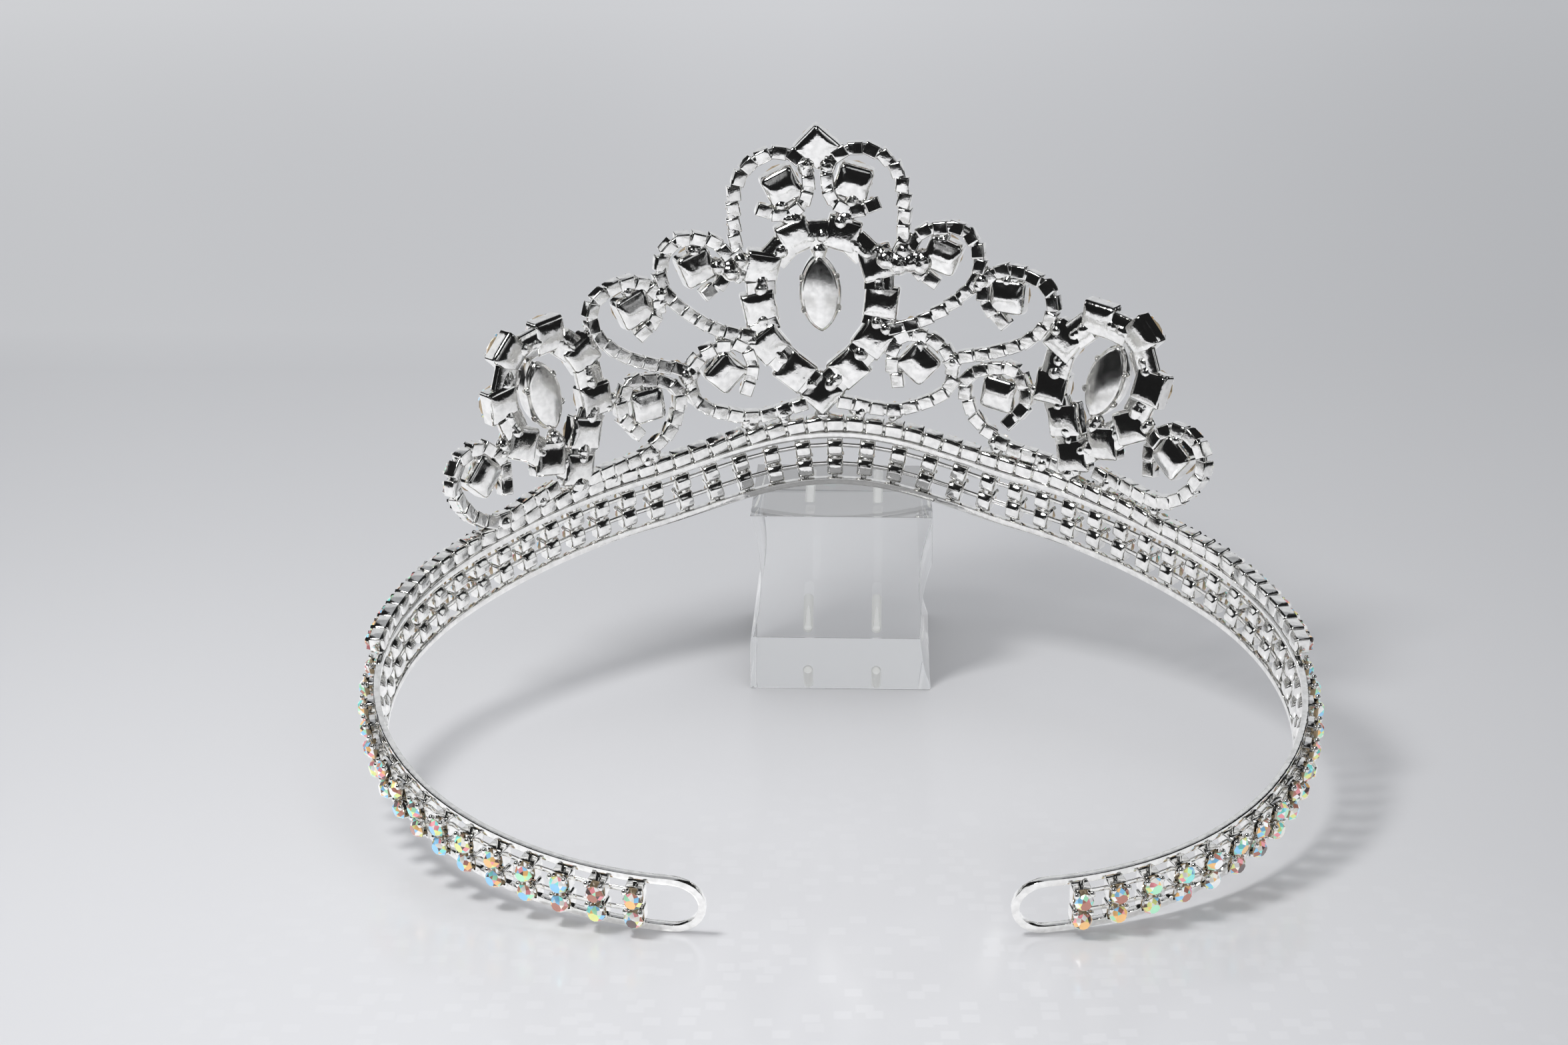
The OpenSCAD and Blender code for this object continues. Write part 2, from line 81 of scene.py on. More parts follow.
# Routes of the scrolls on the right half, as chosen points (along the band, above the crest chain).
SCROLLS: dict[str, Route] = {
    "heart": ((7.6, 36.1), (5.3, 34.9), (3, 35.5), (1.6, 37.5), (1.3, 40.1), (1.7, 42.5), (3.4, 44.4),
              (6, 45.2), (8.8, 44.3), (10.8, 42.1), (11.7, 39.3), (11.9, 35.9), (11.9, 32.5), (11.6, 29.7),
              (10, 27.5)),
    "upper": ((16.3, 25.4), (14, 26.6), (13, 29.4), (14.6, 32.8), (17.3, 34.4), (19.9, 35), (22, 33.6),
              (23, 30.9), (22.9, 28.2), (21.4, 25.1), (19.3, 22.3), (16.8, 19.7), (14, 17.6), (11.2, 16.3)),
    "outer": ((27, 22), (24.9, 23.7), (23.9, 26.6), (25.5, 29.5), (28.3, 30.7), (31.4, 30.3), (33.6, 29.1),
              (34.6, 26.7), (34.3, 23.9), (32.8, 21.6), (30.8, 19.4), (28.5, 17.8), (26, 16.3),
              (23.8, 15.2), (21.6, 14.1), (20.2, 12.7)),
    "side": ((30.3, 6.1), (32.3, 9.3), (31.8, 12.1), (30, 14.4), (26.6, 13.9), (23.5, 12.1), (22.4, 9.6),
             (23.3, 6.8), (24.8, 4.6), (27, 3.2), (29.2, 2), (31.9, 1.4), (34.6, 1.2), (37.5, 1.1),
             (39.3, 1)),
    "foot": ((11.8, 7.5), (10.8, 10.7), (11.8, 14.4), (15, 15.7), (17.6, 15.3), (20, 13.4), (20.3, 10.4),
             (19.9, 8.4), (17.9, 5.9), (15.1, 4.1), (12.5, 2.7), (9.2, 2.1), (6.3, 2.3), (3.6, 2.6)),
    "end": ((55.7, 6.1), (55.1, 9.2), (55.8, 11.5), (58.3, 13.8), (61.5, 14), (64, 12.7), (65.3, 9.9),
            (64.4, 6.6), (62.7, 3.9), (59.8, 1.8), (56, 1.2), (53, 1.5), (50, 1.7), (47.2, 1.9)),
}
# Cups on the right half: (along the band, above the crest chain, turn in degrees).
CENTRE_RING: tuple[Cup, ...] = ((0, 4.4, 45), (4.2, 8.5, -45), (7.9, 13.8, -28), (9, 20.2, 0),
                                (8.3, 26.7, 23), (3.25, 30.9, -17))
OVAL_RING: tuple[Cup, ...] = ((41.6, 3.5, 20), (39.1, 8.7, 20), (36.2, 13.6, 0), (37.1, 21.4, -28),
                              (42, 26.5, 0), (49.2, 25.9, -38), (52.6, 18.8, 0), (50.8, 11.5, 30),
                              (46.4, 7.2, 18))
CURL_CUPS: tuple[Cup, ...] = ((4.9, 39.4, 42), (17.6, 29.8, 7), (27.6, 26.2, 8), (27.8, 9.8, 0),
                              (15, 11.1, -36), (59.2, 9.3, -45))
FINIAL: Cup = (0, 45.1, 45)
NAVETTES: tuple[Cup, ...] = ((0, 21.1, 0), (44.9, 17.1, -12))
# How far the backs of the large cups are tipped to the floor, in degrees, in the order of the lists above.
BOTTOM_NOD = -4.0
FINIAL_NOD = 10.0
RING_NODS = {Side.LEFT: (0.5, 3, 6.5, 5, 5), Side.RIGHT: (1, -2.5, -4.5, -6, 4)}
OVAL_NODS = {Side.LEFT: (-2, 3.5, 4.5, 5, 5.5, 5.5, 5, -1, -1.5),
             Side.RIGHT: (-6, -3.5, -4.5, -2.5, 2, 5.5, -4.5, -2, -1.5)}
CURL_NODS = {Side.LEFT: (4, 6.5, 7, 5, 5.5, 8), Side.RIGHT: (2, 3, 1, 3.5, 1, 2.5)}
SCROLL_NODS = {Side.LEFT: 4.5, Side.RIGHT: 1.0}
# How the backs of the scrolls' centre cups are turned, which differs between the halves.
CURL_TURNS = {Side.LEFT: (-20, -10, -15, 0, -36, -42), Side.RIGHT: (-13, -10, 8, 0, -30, -32)}
# Solder joints on the right half: (along the band, above the crest chain, radius).
SOLDER: tuple[Cup, ...] = (
    (10.4, 16, 1.2), (12.2, 28.2, 1.8), (8.6, 28, 1.2), (3.6, 33.6, 1.3), (23.5, 27, 1.3), (20.6, 13, 1.2),
    (35.6, 23.3, 1.2), (34.2, 12.4, 1.1), (54.2, 12.2, 1.1), (57.6, 0.4, 1.2), (41.8, 0.6, 1.3),
    (28.6, 1.2, 1.1), (17.6, 32.6, 1.0), (27.9, 28.9, 1.0), (27.6, 12.3, 1.0), (15.3, 13.8, 1.0),
    (58.9, 12.2, 1.0), (5.2, 36.6, 1.1), (5.6, 1.2, 1.2), (12, 1.4, 1.0), (36, 0.4, 1.1), (49, 0.6, 1.1),
    (1.3, 42.6, 1.1), (14.2, 28.6, 1.6), (11.8, 26.6, 1.1))


def heading(degrees: float) -> Vector:
    """Direction in the plan that a turn from straight ahead gives.

    Args:
        degrees: turn from +Y towards +X.

    Returns:
        A unit vector (sideways, forward).
    """
    return Vector((math.sin(math.radians(degrees)), math.cos(math.radians(degrees))))


@dataclass(frozen=True)
class BandPlan:
    """Where everything on the tilted band lies; the same sizes as the CAD source, in millimetres."""

    front_r: float = 61.5
    front_turn: float = 36.0
    shoulder_r: float = 98.0
    shoulder_turn: float = 55.0
    side_r: float = 49.0
    half_length: float = 176.0
    end_shift: float = 2.5
    rise_h: float = 4.0
    rise_w: float = 32.0
    band_h: float = 9.6
    rail_w: float = 1.0
    rail_h: float = 1.1
    band_flare: float = 4.0
    crest_top: float = 12.1
    crest_flare: float = 14.0
    crest_shift: float = -2.0
    crest_lean: float = 0.8
    stand_w: float = 30.0
    stand_h: float = 30.0
    foot_d: float = 40.0
    stand_shift: float = 1.5
    seat_inset: float = 8.0
    seat_gap: float = 0.1

    @cached_property
    def front_l(self) -> float:
        """Length of the front arc, from the middle."""
        return self.front_r * math.radians(self.front_turn)

    @cached_property
    def shoulder_l(self) -> float:
        """Length of one shoulder arc."""
        return self.shoulder_r * math.radians(self.shoulder_turn - self.front_turn)

    @cached_property
    def shoulder_c(self) -> Vector:
        """Centre of the shoulder arc."""
        return heading(self.front_turn) * (self.front_r - self.shoulder_r)

    @cached_property
    def side_c(self) -> Vector:
        """Centre of the side arc."""
        return self.shoulder_c + heading(self.shoulder_turn) * (self.shoulder_r - self.side_r)

    @cached_property
    def depth(self) -> float:
        """Depth of the plan behind the front arc's centre."""
        return self.side_r - self.side_c.y

    @cached_property
    def seat(self) -> tuple[float, float]:
        """The band's seat on the block.

        Returns:
            (depth in the plan, rise).
        """
        turn = math.degrees(math.asin((self.stand_w / 2 + self.stand_shift) / self.front_r))
        along = self.front_l * turn / self.front_turn
        return self.plan_point(along).y, self.rise(along)

    @cached_property
    def tilt(self) -> float:
        """Tilt of the band on the table.

        Returns:
            The angle in radians.
        """
        v, rise = self.seat
        reach = math.hypot(v + self.rail_w, rise)
        return math.asin((self.stand_h + self.seat_gap) / reach) - math.atan2(rise, v + self.rail_w)

    @cached_property
    def start_y(self) -> float:
        """Where the back of the band touches the table."""
        v, rise = self.seat
        return self.seat_inset - self.foot_d / 2 - v * math.cos(self.tilt) + rise * math.sin(self.tilt)

    def plan_turn(self, q: float) -> float:
        """Heading at a length from the middle.

        Args:
            q: length along the band, not negative.

        Returns:
            The heading in degrees.
        """
        if q < self.front_l:
            return math.degrees(q / self.front_r)
        if q < self.front_l + self.shoulder_l:
            return self.front_turn + math.degrees((q - self.front_l) / self.shoulder_r)
        return self.shoulder_turn + math.degrees((q - self.front_l - self.shoulder_l) / self.side_r)

    def plan_point(self, q: float) -> Vector:
        """Point of the plan at a length from the middle.

        Args:
            q: length along the band, not negative.

        Returns:
            (sideways, forward) in millimetres.
        """
        h = heading(self.plan_turn(q))
        if q < self.front_l:
            point = h * self.front_r
        elif q < self.front_l + self.shoulder_l:
            point = self.shoulder_c + h * self.shoulder_r
        else:
            point = self.side_c + h * self.side_r
        return point + Vector((0, self.depth))

    def rise(self, s: float) -> float:
        """Height of the front's arch.

        Args:
            s: place along the band.

        Returns:
            The rise in millimetres.
        """
        if abs(s) >= self.rise_w:
            return 0.0
        return self.rise_h * math.cos(math.radians(90 * s / self.rise_w)) ** 2

    def profile(self, t: float) -> Vector:
        """The band's leaning face.

        Args:
            t: length up the face.

        Returns:
            (outward, up) in millimetres.
        """
        low, high = math.radians(self.band_flare), math.radians(self.crest_flare)
        first, rest = min(t, self.crest_top), max(t - self.crest_top, 0.0)
        return Vector((first * math.sin(low) + rest * math.sin(high),
                       first * math.cos(low) + rest * math.cos(high)))

    def place(self, s: float, t: float, n: float = 0.0) -> Vector:
        """A place on the band.

        Args:
            s: along the band from the middle.
            t: up its face.
            n: outward from its inner face.

        Returns:
            The point in millimetres, in the CAD frame.
        """
        side = -1.0 if s < 0 else 1.0
        p = self.plan_point(abs(s))
        h = heading(self.plan_turn(abs(s)))
        out, climb = self.profile(t)
        v = p.y + h.y * (n + out)
        u = climb + self.rise(s)
        bend = self.end_shift * (1 - p.y / (self.front_r + self.depth)) ** 4
        c, w = math.cos(self.tilt), math.sin(self.tilt)
        return Vector((side * (p.x + h.x * (n + out)) + bend,
                       self.start_y + v * c - u * w, (v + self.rail_w) * w + u * c))

    def frame(self, s: float, t: float, turn: float = 0.0, nod: float = 0.0) -> Matrix:
        """A frame on the band: x along it, y outward, z up its face.

        Args:
            s: along the band.
            t: up its face.
            turn: turn about y, in degrees, towards x.
            nod: tip about the band's direction before that, in degrees; positive turns the back to the floor.

        Returns:
            The frame, with its origin in millimetres.
        """
        e = 0.05
        origin = self.place(s, t)
        x = (self.place(s + e, t) - self.place(s - e, t)).normalized()
        y = (self.place(s, t + e) - origin).cross(x).normalized()
        z = x.cross(y)
        made = Matrix((x, y, z)).transposed().to_4x4()
        made.translation = origin
        tip, roll = Matrix.Rotation(math.radians(nod), 4, "X"), Matrix.Rotation(math.radians(-turn), 4, "Y")
        return made @ tip @ roll

    def crest_point(self, along: float, above: float, side: Side) -> Vector:
        """A point of the crest, given on the right half.

        Args:
            along: along the band from the middle.
            above: above the crest chain.
            side: the half it is wanted on.

        Returns:
            (s, t) with the crest's own shift and lean.
        """
        s = side.value * along
        lean = math.tan(math.radians(self.crest_lean))
        return Vector((s + self.crest_shift - above * lean, self.crest_top + above + s * lean))

    def crest_frame(self, cup: Cup, side: Side, nod: float = 0.0) -> Matrix:
        """Frame of a cup of the crest."""
        s, t = self.crest_point(cup[0], cup[1], side)
        return self.frame(s, t, side.value * cup[2] + self.crest_lean, nod)


def catmull(points: list[Vector], steps: int = 8) -> list[Vector]:
    """A smooth curve through chosen points.

    Args:
        points: the points.
        steps: points made for each span.

    Returns:
        The points of the curve.
    """
    last = len(points) - 1
    made = []
    for i in range(last):
        a, b, c, d = (points[k] for k in (max(i - 1, 0), i, i + 1, min(i + 2, last)))
        for k in range(steps):
            w = k / steps
            made.append(0.5 * (2 * b + (c - a) * w + (2 * a - 5 * b + 4 * c - d) * w * w
                               + (3 * b - a - 3 * c + d) * w ** 3))
    return made + [points[last]]


def scroll_frames(plan: BandPlan, route: Route, side: Side, pitch: float) -> list[Matrix]:
    """Frames of the cups and links of a scroll, spaced evenly along it.

    Args:
        plan: the band.
        route: chosen points of the scroll, on the right half.
        side: the half it is wanted on.
        pitch: distance between cups.

    Returns:
        Frames in millimetres; the even ones are cups and the odd ones links.
    """
    curve = [plan.crest_point(q.x, q.y, side) for q in catmull([Vector(p) for p in route])]
    reach = [0.0]
    for a, b in zip(curve, curve[1:]):
        reach.append(reach[-1] + (plan.place(*b) - plan.place(*a)).length)
    count = 2 * max(2, round(reach[-1] / pitch))
    spots = []
    k = 0
    for i in range(count + 1):
        want = min(reach[-1] - 0.001, reach[-1] * i / count)
        while reach[k + 1] <= want:
            k += 1
        spots.append(curve[k].lerp(curve[k + 1], (want - reach[k]) / (reach[k + 1] - reach[k])))
    made = []
    for i, spot in enumerate(spots):
        way = spots[min(i + 1, count)] - spots[max(i - 1, 0)]
        made.append(plan.frame(spot.x, spot.y, math.degrees(math.atan2(way.y, way.x)), SCROLL_NODS[side]))
    return made


def moved(frame: Matrix, x: float = 0.0, y: float = 0.0, z: float = 0.0) -> Matrix:
    """A frame moved along its own axes.

    Args:
        frame: the frame.
        x: along its x.
        y: along its y.
        z: along its z.

    Returns:
        The moved frame.
    """
    return frame @ Matrix.Translation((x, y, z))


# Finishes


class NodeGraph:
    """A node tree that is being built."""

    def __init__(self, tree: bpy.types.NodeTree) -> None:
        """Takes the tree."""
        self.nodes = tree.nodes
        self.links = tree.links

    def fill(self, socket: bpy.types.NodeSocket, value: object) -> None:
        """Sets or links one input.

        Args:
            socket: the input.
            value: a value, or the socket that feeds it.
        """
        if isinstance(value, bpy.types.NodeSocket):
            self.links.new(value, socket)
        else:
            socket.default_value = value

    def add(self, kind: str, inputs: dict[str | int, object], **props: object) -> bpy.types.Node:
        """Adds a node.

        Args:
            kind: the node's type.
            inputs: values or sockets for its inputs.
            props: its own settings.

        Returns:
            The node.
        """
        node = self.nodes.new(kind)
        for name, value in props.items():
            setattr(node, name, value)
        for name, value in inputs.items():
            self.fill(node.inputs[name], value)
        return node

    def math(self, operation: str, *values: object, clamp: bool = False) -> bpy.types.NodeSocket:
        """Adds a sum on numbers."""
        return self.add("ShaderNodeMath", dict(enumerate(values)), operation=operation,
                        use_clamp=clamp).outputs[0]

    def vector(self, operation: str, *values: object) -> bpy.types.NodeSocket:
        """Adds a sum on vectors that gives a vector."""
        return self.add("ShaderNodeVectorMath", dict(enumerate(values)),
                        operation=operation).outputs["Vector"]

    def scaled(self, vector: object, factor: object) -> bpy.types.NodeSocket:
        """Scales a vector by a number."""
        return self.add("ShaderNodeVectorMath", {0: vector, "Scale": factor},
                        operation="SCALE").outputs["Vector"]

    def measure(self, operation: str, first: object, second: object) -> bpy.types.NodeSocket:
        """Adds a sum on two vectors that gives a number."""
        return self.add("ShaderNodeVectorMath", {0: first, 1: second}, operation=operation).outputs["Value"]

    def remap(self, value: bpy.types.NodeSocket, low: float, high: float, at_low: float = 0.0,
              at_high: float = 1.0) -> bpy.types.NodeSocket:
        """Maps a number from one range to another, without going past its ends."""
        return self.add("ShaderNodeMapRange", {"Value": value, "From Min": low, "From Max": high,
                                               "To Min": at_low, "To Max": at_high}).outputs["Result"]


class Shader(NodeGraph):
    """Builds one node material around a Principled shader."""

    def __init__(self, name: str) -> None:
        """Makes an empty material with an output and a Principled shader.

        Args:
            name: the material's name.
        """
        self.material = bpy.data.materials.new(name)
        self.material.use_nodes = True
        super().__init__(self.material.node_tree)
        self.nodes.clear()
        self.output = self.nodes.new("ShaderNodeOutputMaterial")
        self.base = self.nodes.new("ShaderNodeBsdfPrincipled")
        self.links.new(self.base.outputs["BSDF"], self.output.inputs["Surface"])
        self.where = self.nodes.new("ShaderNodeTexCoord").outputs["Object"]

    def set(self, **values: object) -> None:
        """Sets or links inputs of the Principled shader."""
        for name, value in values.items():
            self.fill(self.base.inputs[name.replace("_", " ")], value)

    def noise(self, scale: float, detail: float = 3.0) -> bpy.types.NodeSocket:
        """Noise over the object."""
        return self.add("ShaderNodeTexNoise", {"Vector": self.where, "Scale": scale,
                                               "Detail": detail}).outputs["Fac"]

    def ramp(self, factor: bpy.types.NodeSocket, stops: list[tuple[float, Colour]],
             step: bool = False) -> bpy.types.NodeSocket:
        """A colour ramp.

        Args:
            factor: what it reads.
            stops: (place, colour) pairs.
            step: True for hard steps.

        Returns:
            Its colour socket.
        """
        node = self.add("ShaderNodeValToRGB", {"Fac": factor})
        node.color_ramp.interpolation = "CONSTANT" if step else "LINEAR"
        elements = node.color_ramp.elements
        while len(elements) < len(stops):
            elements.new(0.5)
        for element, (place, colour) in zip(elements, stops):
            element.position = place
            element.color = (*colour, 1.0)
        return node.outputs["Color"]

    def mix(self, factor: object, first: object, second: object, blend: str = "MIX") -> bpy.types.NodeSocket:
        """Mixes two colours."""
        return self.add("ShaderNodeMix", {0: factor, 6: first, 7: second}, data_type="RGBA",
                        blend_type=blend).outputs[2]

    def bump(self, height: bpy.types.NodeSocket, distance: float, strength: float) -> None:
        """Bumps the surface."""
        self.set(Normal=self.add("ShaderNodeBump", {"Height": height, "Distance": distance,
                                                    "Strength": strength}).outputs["Normal"])


@dataclass(frozen=True)
class SilverFinish:
    """Bright plated metal, from a smooth pressed cup to pitted solder."""

    name: str
    tone: Colour = (0.95, 0.945, 0.925)
    stained: float = 0.86
    stain_at: tuple[float, float] = (0.35, 0.62)
    rough_low: float = 0.045
    rough_high: float = 0.11
    rough_at: tuple[float, float] = (0.35, 0.65)
    grain: float = 900.0
    pit_scale: float = 1500.0
    pit_depth: float = 0.00005
    pit_strength: float = 0.35
    dent_scale: float = 420.0
    dent_share: float = 2.2

    def build(self) -> bpy.types.Material:
        """Makes the material.

        Returns:
            The material.
        """
        made = Shader(self.name)
        stain = made.noise(self.grain)
        dark = tuple(v * self.stained for v in self.tone)
        made.set(Base_Color=made.ramp(stain, list(zip(self.stain_at, (dark, self.tone)))),
                 Roughness=made.remap(stain, *self.rough_at, self.rough_high, self.rough_low), Metallic=1.0)
        dents = made.math("MULTIPLY", made.noise(self.dent_scale, 1.0), self.dent_share)
        made.bump(made.math("ADD", made.noise(self.pit_scale, 4.0), dents), self.pit_depth, self.pit_strength)
        return made.material


@dataclass(frozen=True)
class CrystalFinish:
    """Foiled cut glass with a rainbow coat: each facet has a tint of the coat, a painted white glint or a
    painted dark reflection, and the foiled back is gold; every face glows with its colour, which is painted
    light.
    """

    name: str
    # Facet colours: the coat's rainbow tints, with the whites as painted glints and the near-black one as a
    # painted dark reflection.
    palette: tuple[Colour, ...] = (
        (1.0, 1.0, 1.0), (0.93, 0.36, 0.4), (0.3, 0.9, 0.85), (0.88, 0.92, 0.35), (0.32, 0.68, 1.0),
        (1.0, 0.6, 0.25), (0.5, 0.22, 0.17), (0.5, 0.95, 0.65), (0.14, 0.1, 0.1), (1.0, 0.97, 0.9))
    foil: Colour = (0.45, 0.36, 0.24)
    haze: tuple[Colour, Colour] = ((0.86, 0.9, 0.92), (1.0, 0.97, 0.94))
    haze_at: tuple[float, float] = (0.3, 0.7)
    haze_scale: float = 700.0
    haze_share: float = 0.35
    metallic: float = 0.35
    rough: float = 0.07
    coat: float = 0.6
    coat_rough: float = 0.03
    ior: float = 1.55
    # Painted light: the stones glow with their own colours, so they stay bright in shade.
    glow: float = 0.25

    def build(self) -> bpy.types.Material:
        """Makes the material.

        Returns:
            The material.
        """
        made = Shader(self.name)
        fire, back = (made.add("ShaderNodeAttribute", {}, attribute_name=name).outputs["Fac"]
                      for name in ("fire", "foil"))
        crown = made.ramp(fire, [(i / len(self.palette), c) for i, c in enumerate(self.palette)], step=True)
        haze = made.ramp(made.noise(self.haze_scale), list(zip(self.haze_at, self.haze)))
        tint = made.mix(self.haze_share, crown, haze, "MULTIPLY")
        mixed = made.mix(back, tint, (*self.foil, 1.0))
        # The emission is painted light on every facet and on the foil.
        made.set(Base_Color=mixed, Emission_Color=mixed, Metallic=self.metallic, Roughness=self.rough,
                 Coat_Weight=self.coat, Coat_Roughness=self.coat_rough, IOR=self.ior,
                 Emission_Strength=self.glow)
        return made.material


@dataclass(frozen=True)
class AcrylicFinish:
    """Clear cast acrylic; the drilled holes are frosted, and their glow is painted light. Light passes
    straight through it to the floor.
    """

    name: str
    tone: Colour = (0.985, 0.99, 0.988)
    rough: float = 0.0
    cloud: float = 0.0
    ior: float = 1.49
    ripple: float = 0.000004
    ripple_scale: float = 120.0
    ripple_strength: float = 0.5
    shade: float = 0.3
    # Painted light: a glow that brightens the frosted holes.
    glow: float = 0.0
    glow_tone: Colour = (0.93, 0.94, 0.92)

    def build(self) -> bpy.types.Material:
        """Makes the material.

        Returns:
            The material.
        """
        made = Shader(self.name)
        made.set(Base_Color=(*self.tone, 1.0), Transmission_Weight=1.0 - self.cloud, Roughness=self.rough,
                 IOR=self.ior, Emission_Color=(*self.glow_tone, 1.0), Emission_Strength=self.glow)
        made.bump(made.noise(self.ripple_scale, 1.0), self.ripple, self.ripple_strength)
        path = made.add("ShaderNodeLightPath", {})
        soft = made.math("MAXIMUM", path.outputs["Is Shadow Ray"], path.outputs["Is Diffuse Ray"])
        clear = made.add("ShaderNodeBsdfTransparent", {"Color": (self.shade, self.shade, self.shade, 1.0)})
        mixed = made.add("ShaderNodeMixShader", {0: soft, 1: made.base.outputs["BSDF"],
                                                 2: clear.outputs["BSDF"]})
        made.links.new(mixed.outputs[0], made.output.inputs["Surface"])
        return made.material


@dataclass(frozen=True)
class StudioFinish:
    """Pale paper that runs from the table into a backdrop, darker to the right as painted shade, with painted
    light under and behind the block, before the object and towards the back; silver sees it brighter.
    """

    name: str
    tone: Colour
    back_tone: Colour
    walls: tuple[Colour, Colour, Colour]
    line_y: float
    soft: float
    rough: float = 0.14
    specular: float = 0.35
    cloud_scale: float = 9.0
    cloud_at: tuple[float, float] = (0.3, 0.7)
    clouded: float = 0.985
    # Where the table's own tone starts to turn into the one at the back.
    near_y: float = -0.25
    # Half the width over which tones change, and the shares of it where the table and the walls do; the
    # table's darkening towards both sides, most to the right, is painted shade.
    half_width: float = 0.5
    sides: tuple[tuple[float, float], ...] = ((0.3, 0.93), (0.5, 1.0), (0.68, 0.84))
    walls_at: tuple[float, float, float] = (0.2, 0.5, 0.8)
    # How much brighter silver sees the table, half the width that this changes over, and its shares there.
    lift: float = 0.27
    lift_width: float = 0.2
    lift_ends: tuple[float, float] = (1.5, 0.75)
    # Painted light on the backdrop, growing from its line towards the back, and where it is whole.
    far_glow: float = 0.14
    far_y: float = 0.8
    # Light that the stones throw back on the table: middle x, middle y, radius and strength.
    thrown: tuple[float, float, float, float] = (0.01, -0.17, 0.12, 0.06)
    # Its even core as a share of the radius, the scale of its patches, their edge and their shares of it.
    thrown_core: float = 0.2
    patch_scale: float = 260.0
    patch_at: tuple[float, float] = (0.34, 0.26)
    patch_shares: tuple[float, float] = (0.8, 1.5)
    # Light that the clear block leads down to the table under it: middle, half sizes and strength.
    pool: tuple[float, float, float, float] = (0.0015, 0.0146, 0.0196, 0.34)
    # The same light behind the block, seen only through it: how far back it reaches and its strength.
    behind: tuple[float, float] = (0.07, 0.13)

    def build(self) -> bpy.types.Material:
        """Makes the material.

        Returns:
            The material.
        """
        made = Shader(self.name)
        spot = made.add("ShaderNodeSeparateXYZ", {0: made.where})
        x, y = spot.outputs["X"], spot.outputs["Y"]
        lift = self.silver_lift(made, x)
        # Painted light: the backdrop's glow, the pool under and behind the block and the patches before the
        # object.
        for more in (made.remap(y, self.line_y, self.far_y, 0.0, self.far_glow), self.pooled(made, x, y),
                     self.thrown_light(made)):
            lift = made.math("ADD", lift, more)
        tone = self.paper(made, x, y)
        made.set(Base_Color=tone, Emission_Color=tone, Emission_Strength=lift, Roughness=self.rough,
                 Specular_IOR_Level=self.specular)
        return made.material

    def paper(self, made: Shader, x: bpy.types.NodeSocket, y: bpy.types.NodeSocket) -> bpy.types.NodeSocket:
        """The paper's tone over the table and up the backdrop.

        Args:
            made: the shader.
            x: place across.
            y: place in depth.

        Returns:
            Its colour.
        """
        dark = tuple(v * self.clouded for v in self.tone)
        near = made.ramp(made.noise(self.cloud_scale), list(zip(self.cloud_at, (dark, self.tone))))
        near = made.mix(made.remap(y, self.near_y, self.line_y), near, (*self.back_tone, 1.0))
        # Painted shade: the table darkens towards both sides, most to the right, and the backdrop towards the
        # right.
        across = made.remap(x, -self.half_width, self.half_width)
        side = made.ramp(across, [(at, (share, share, share)) for at, share in self.sides])
        near = made.mix(1.0, near, side, "MULTIPLY")
        wall = made.ramp(across, list(zip(self.walls_at, self.walls)))
        return made.mix(made.remap(y, self.line_y - self.soft, self.line_y + self.soft), near, wall)

    def silver_lift(self, made: Shader, x: bpy.types.NodeSocket) -> bpy.types.NodeSocket:
        """What reflections see the paper brighter by; rays that come through the block don't.

        Args:
            made: the shader.
            x: place across.

        Returns:
            Its strength.
        """
        path = made.add("ShaderNodeLightPath", {})
        seen = made.math("SUBTRACT", path.outputs["Is Glossy Ray"], path.outputs["Is Transmission Ray"],
                         clamp=True)
        left, right = (self.lift * share for share in self.lift_ends)
        return made.math("MULTIPLY", seen, made.remap(x, -self.lift_width, self.lift_width, left, right))

    def thrown_light(self, made: Shader) -> bpy.types.NodeSocket:
        """The faint patches of light before the object.

        Args:
            made: the shader.

        Returns:
            Its strength.
        """
        x, y, radius, strength = self.thrown
        away = made.measure("DISTANCE", made.where, (x, y, 0.0))
        fade = made.remap(away, radius, radius * self.thrown_core, 0.0, strength)
        cells = made.add("ShaderNodeTexVoronoi", {"Vector": made.where, "Scale": self.patch_scale},
                         distance="CHEBYCHEV").outputs["Distance"]
        return made.math("MULTIPLY", fade, made.remap(cells, *self.patch_at, *self.patch_shares))

    def pooled(self, made: Shader, x: bpy.types.NodeSocket, y: bpy.types.NodeSocket) -> bpy.types.NodeSocket:
        """The light under and behind the clear block.

        Args:
            made: the shader.
            x: place across.
            y: place in depth.

        Returns:
            Its strength.
        """
        middle, half_x, half_y, strength = self.pool
        reach, rear = self.behind
        off = made.math("SUBTRACT", x, middle)
        in_x, in_y = (made.math("LESS_THAN", made.math("ABSOLUTE", value), half)
                      for value, half in ((off, half_x), (y, half_y)))
        under = made.math("MULTIPLY", in_y, strength)
        fade = made.remap(y, half_y, reach, rear, 0.0)
        past = made.math("MULTIPLY", made.math("GREATER_THAN", y, half_y), fade)
        return made.math("MULTIPLY", made.math("ADD", under, past), in_x)


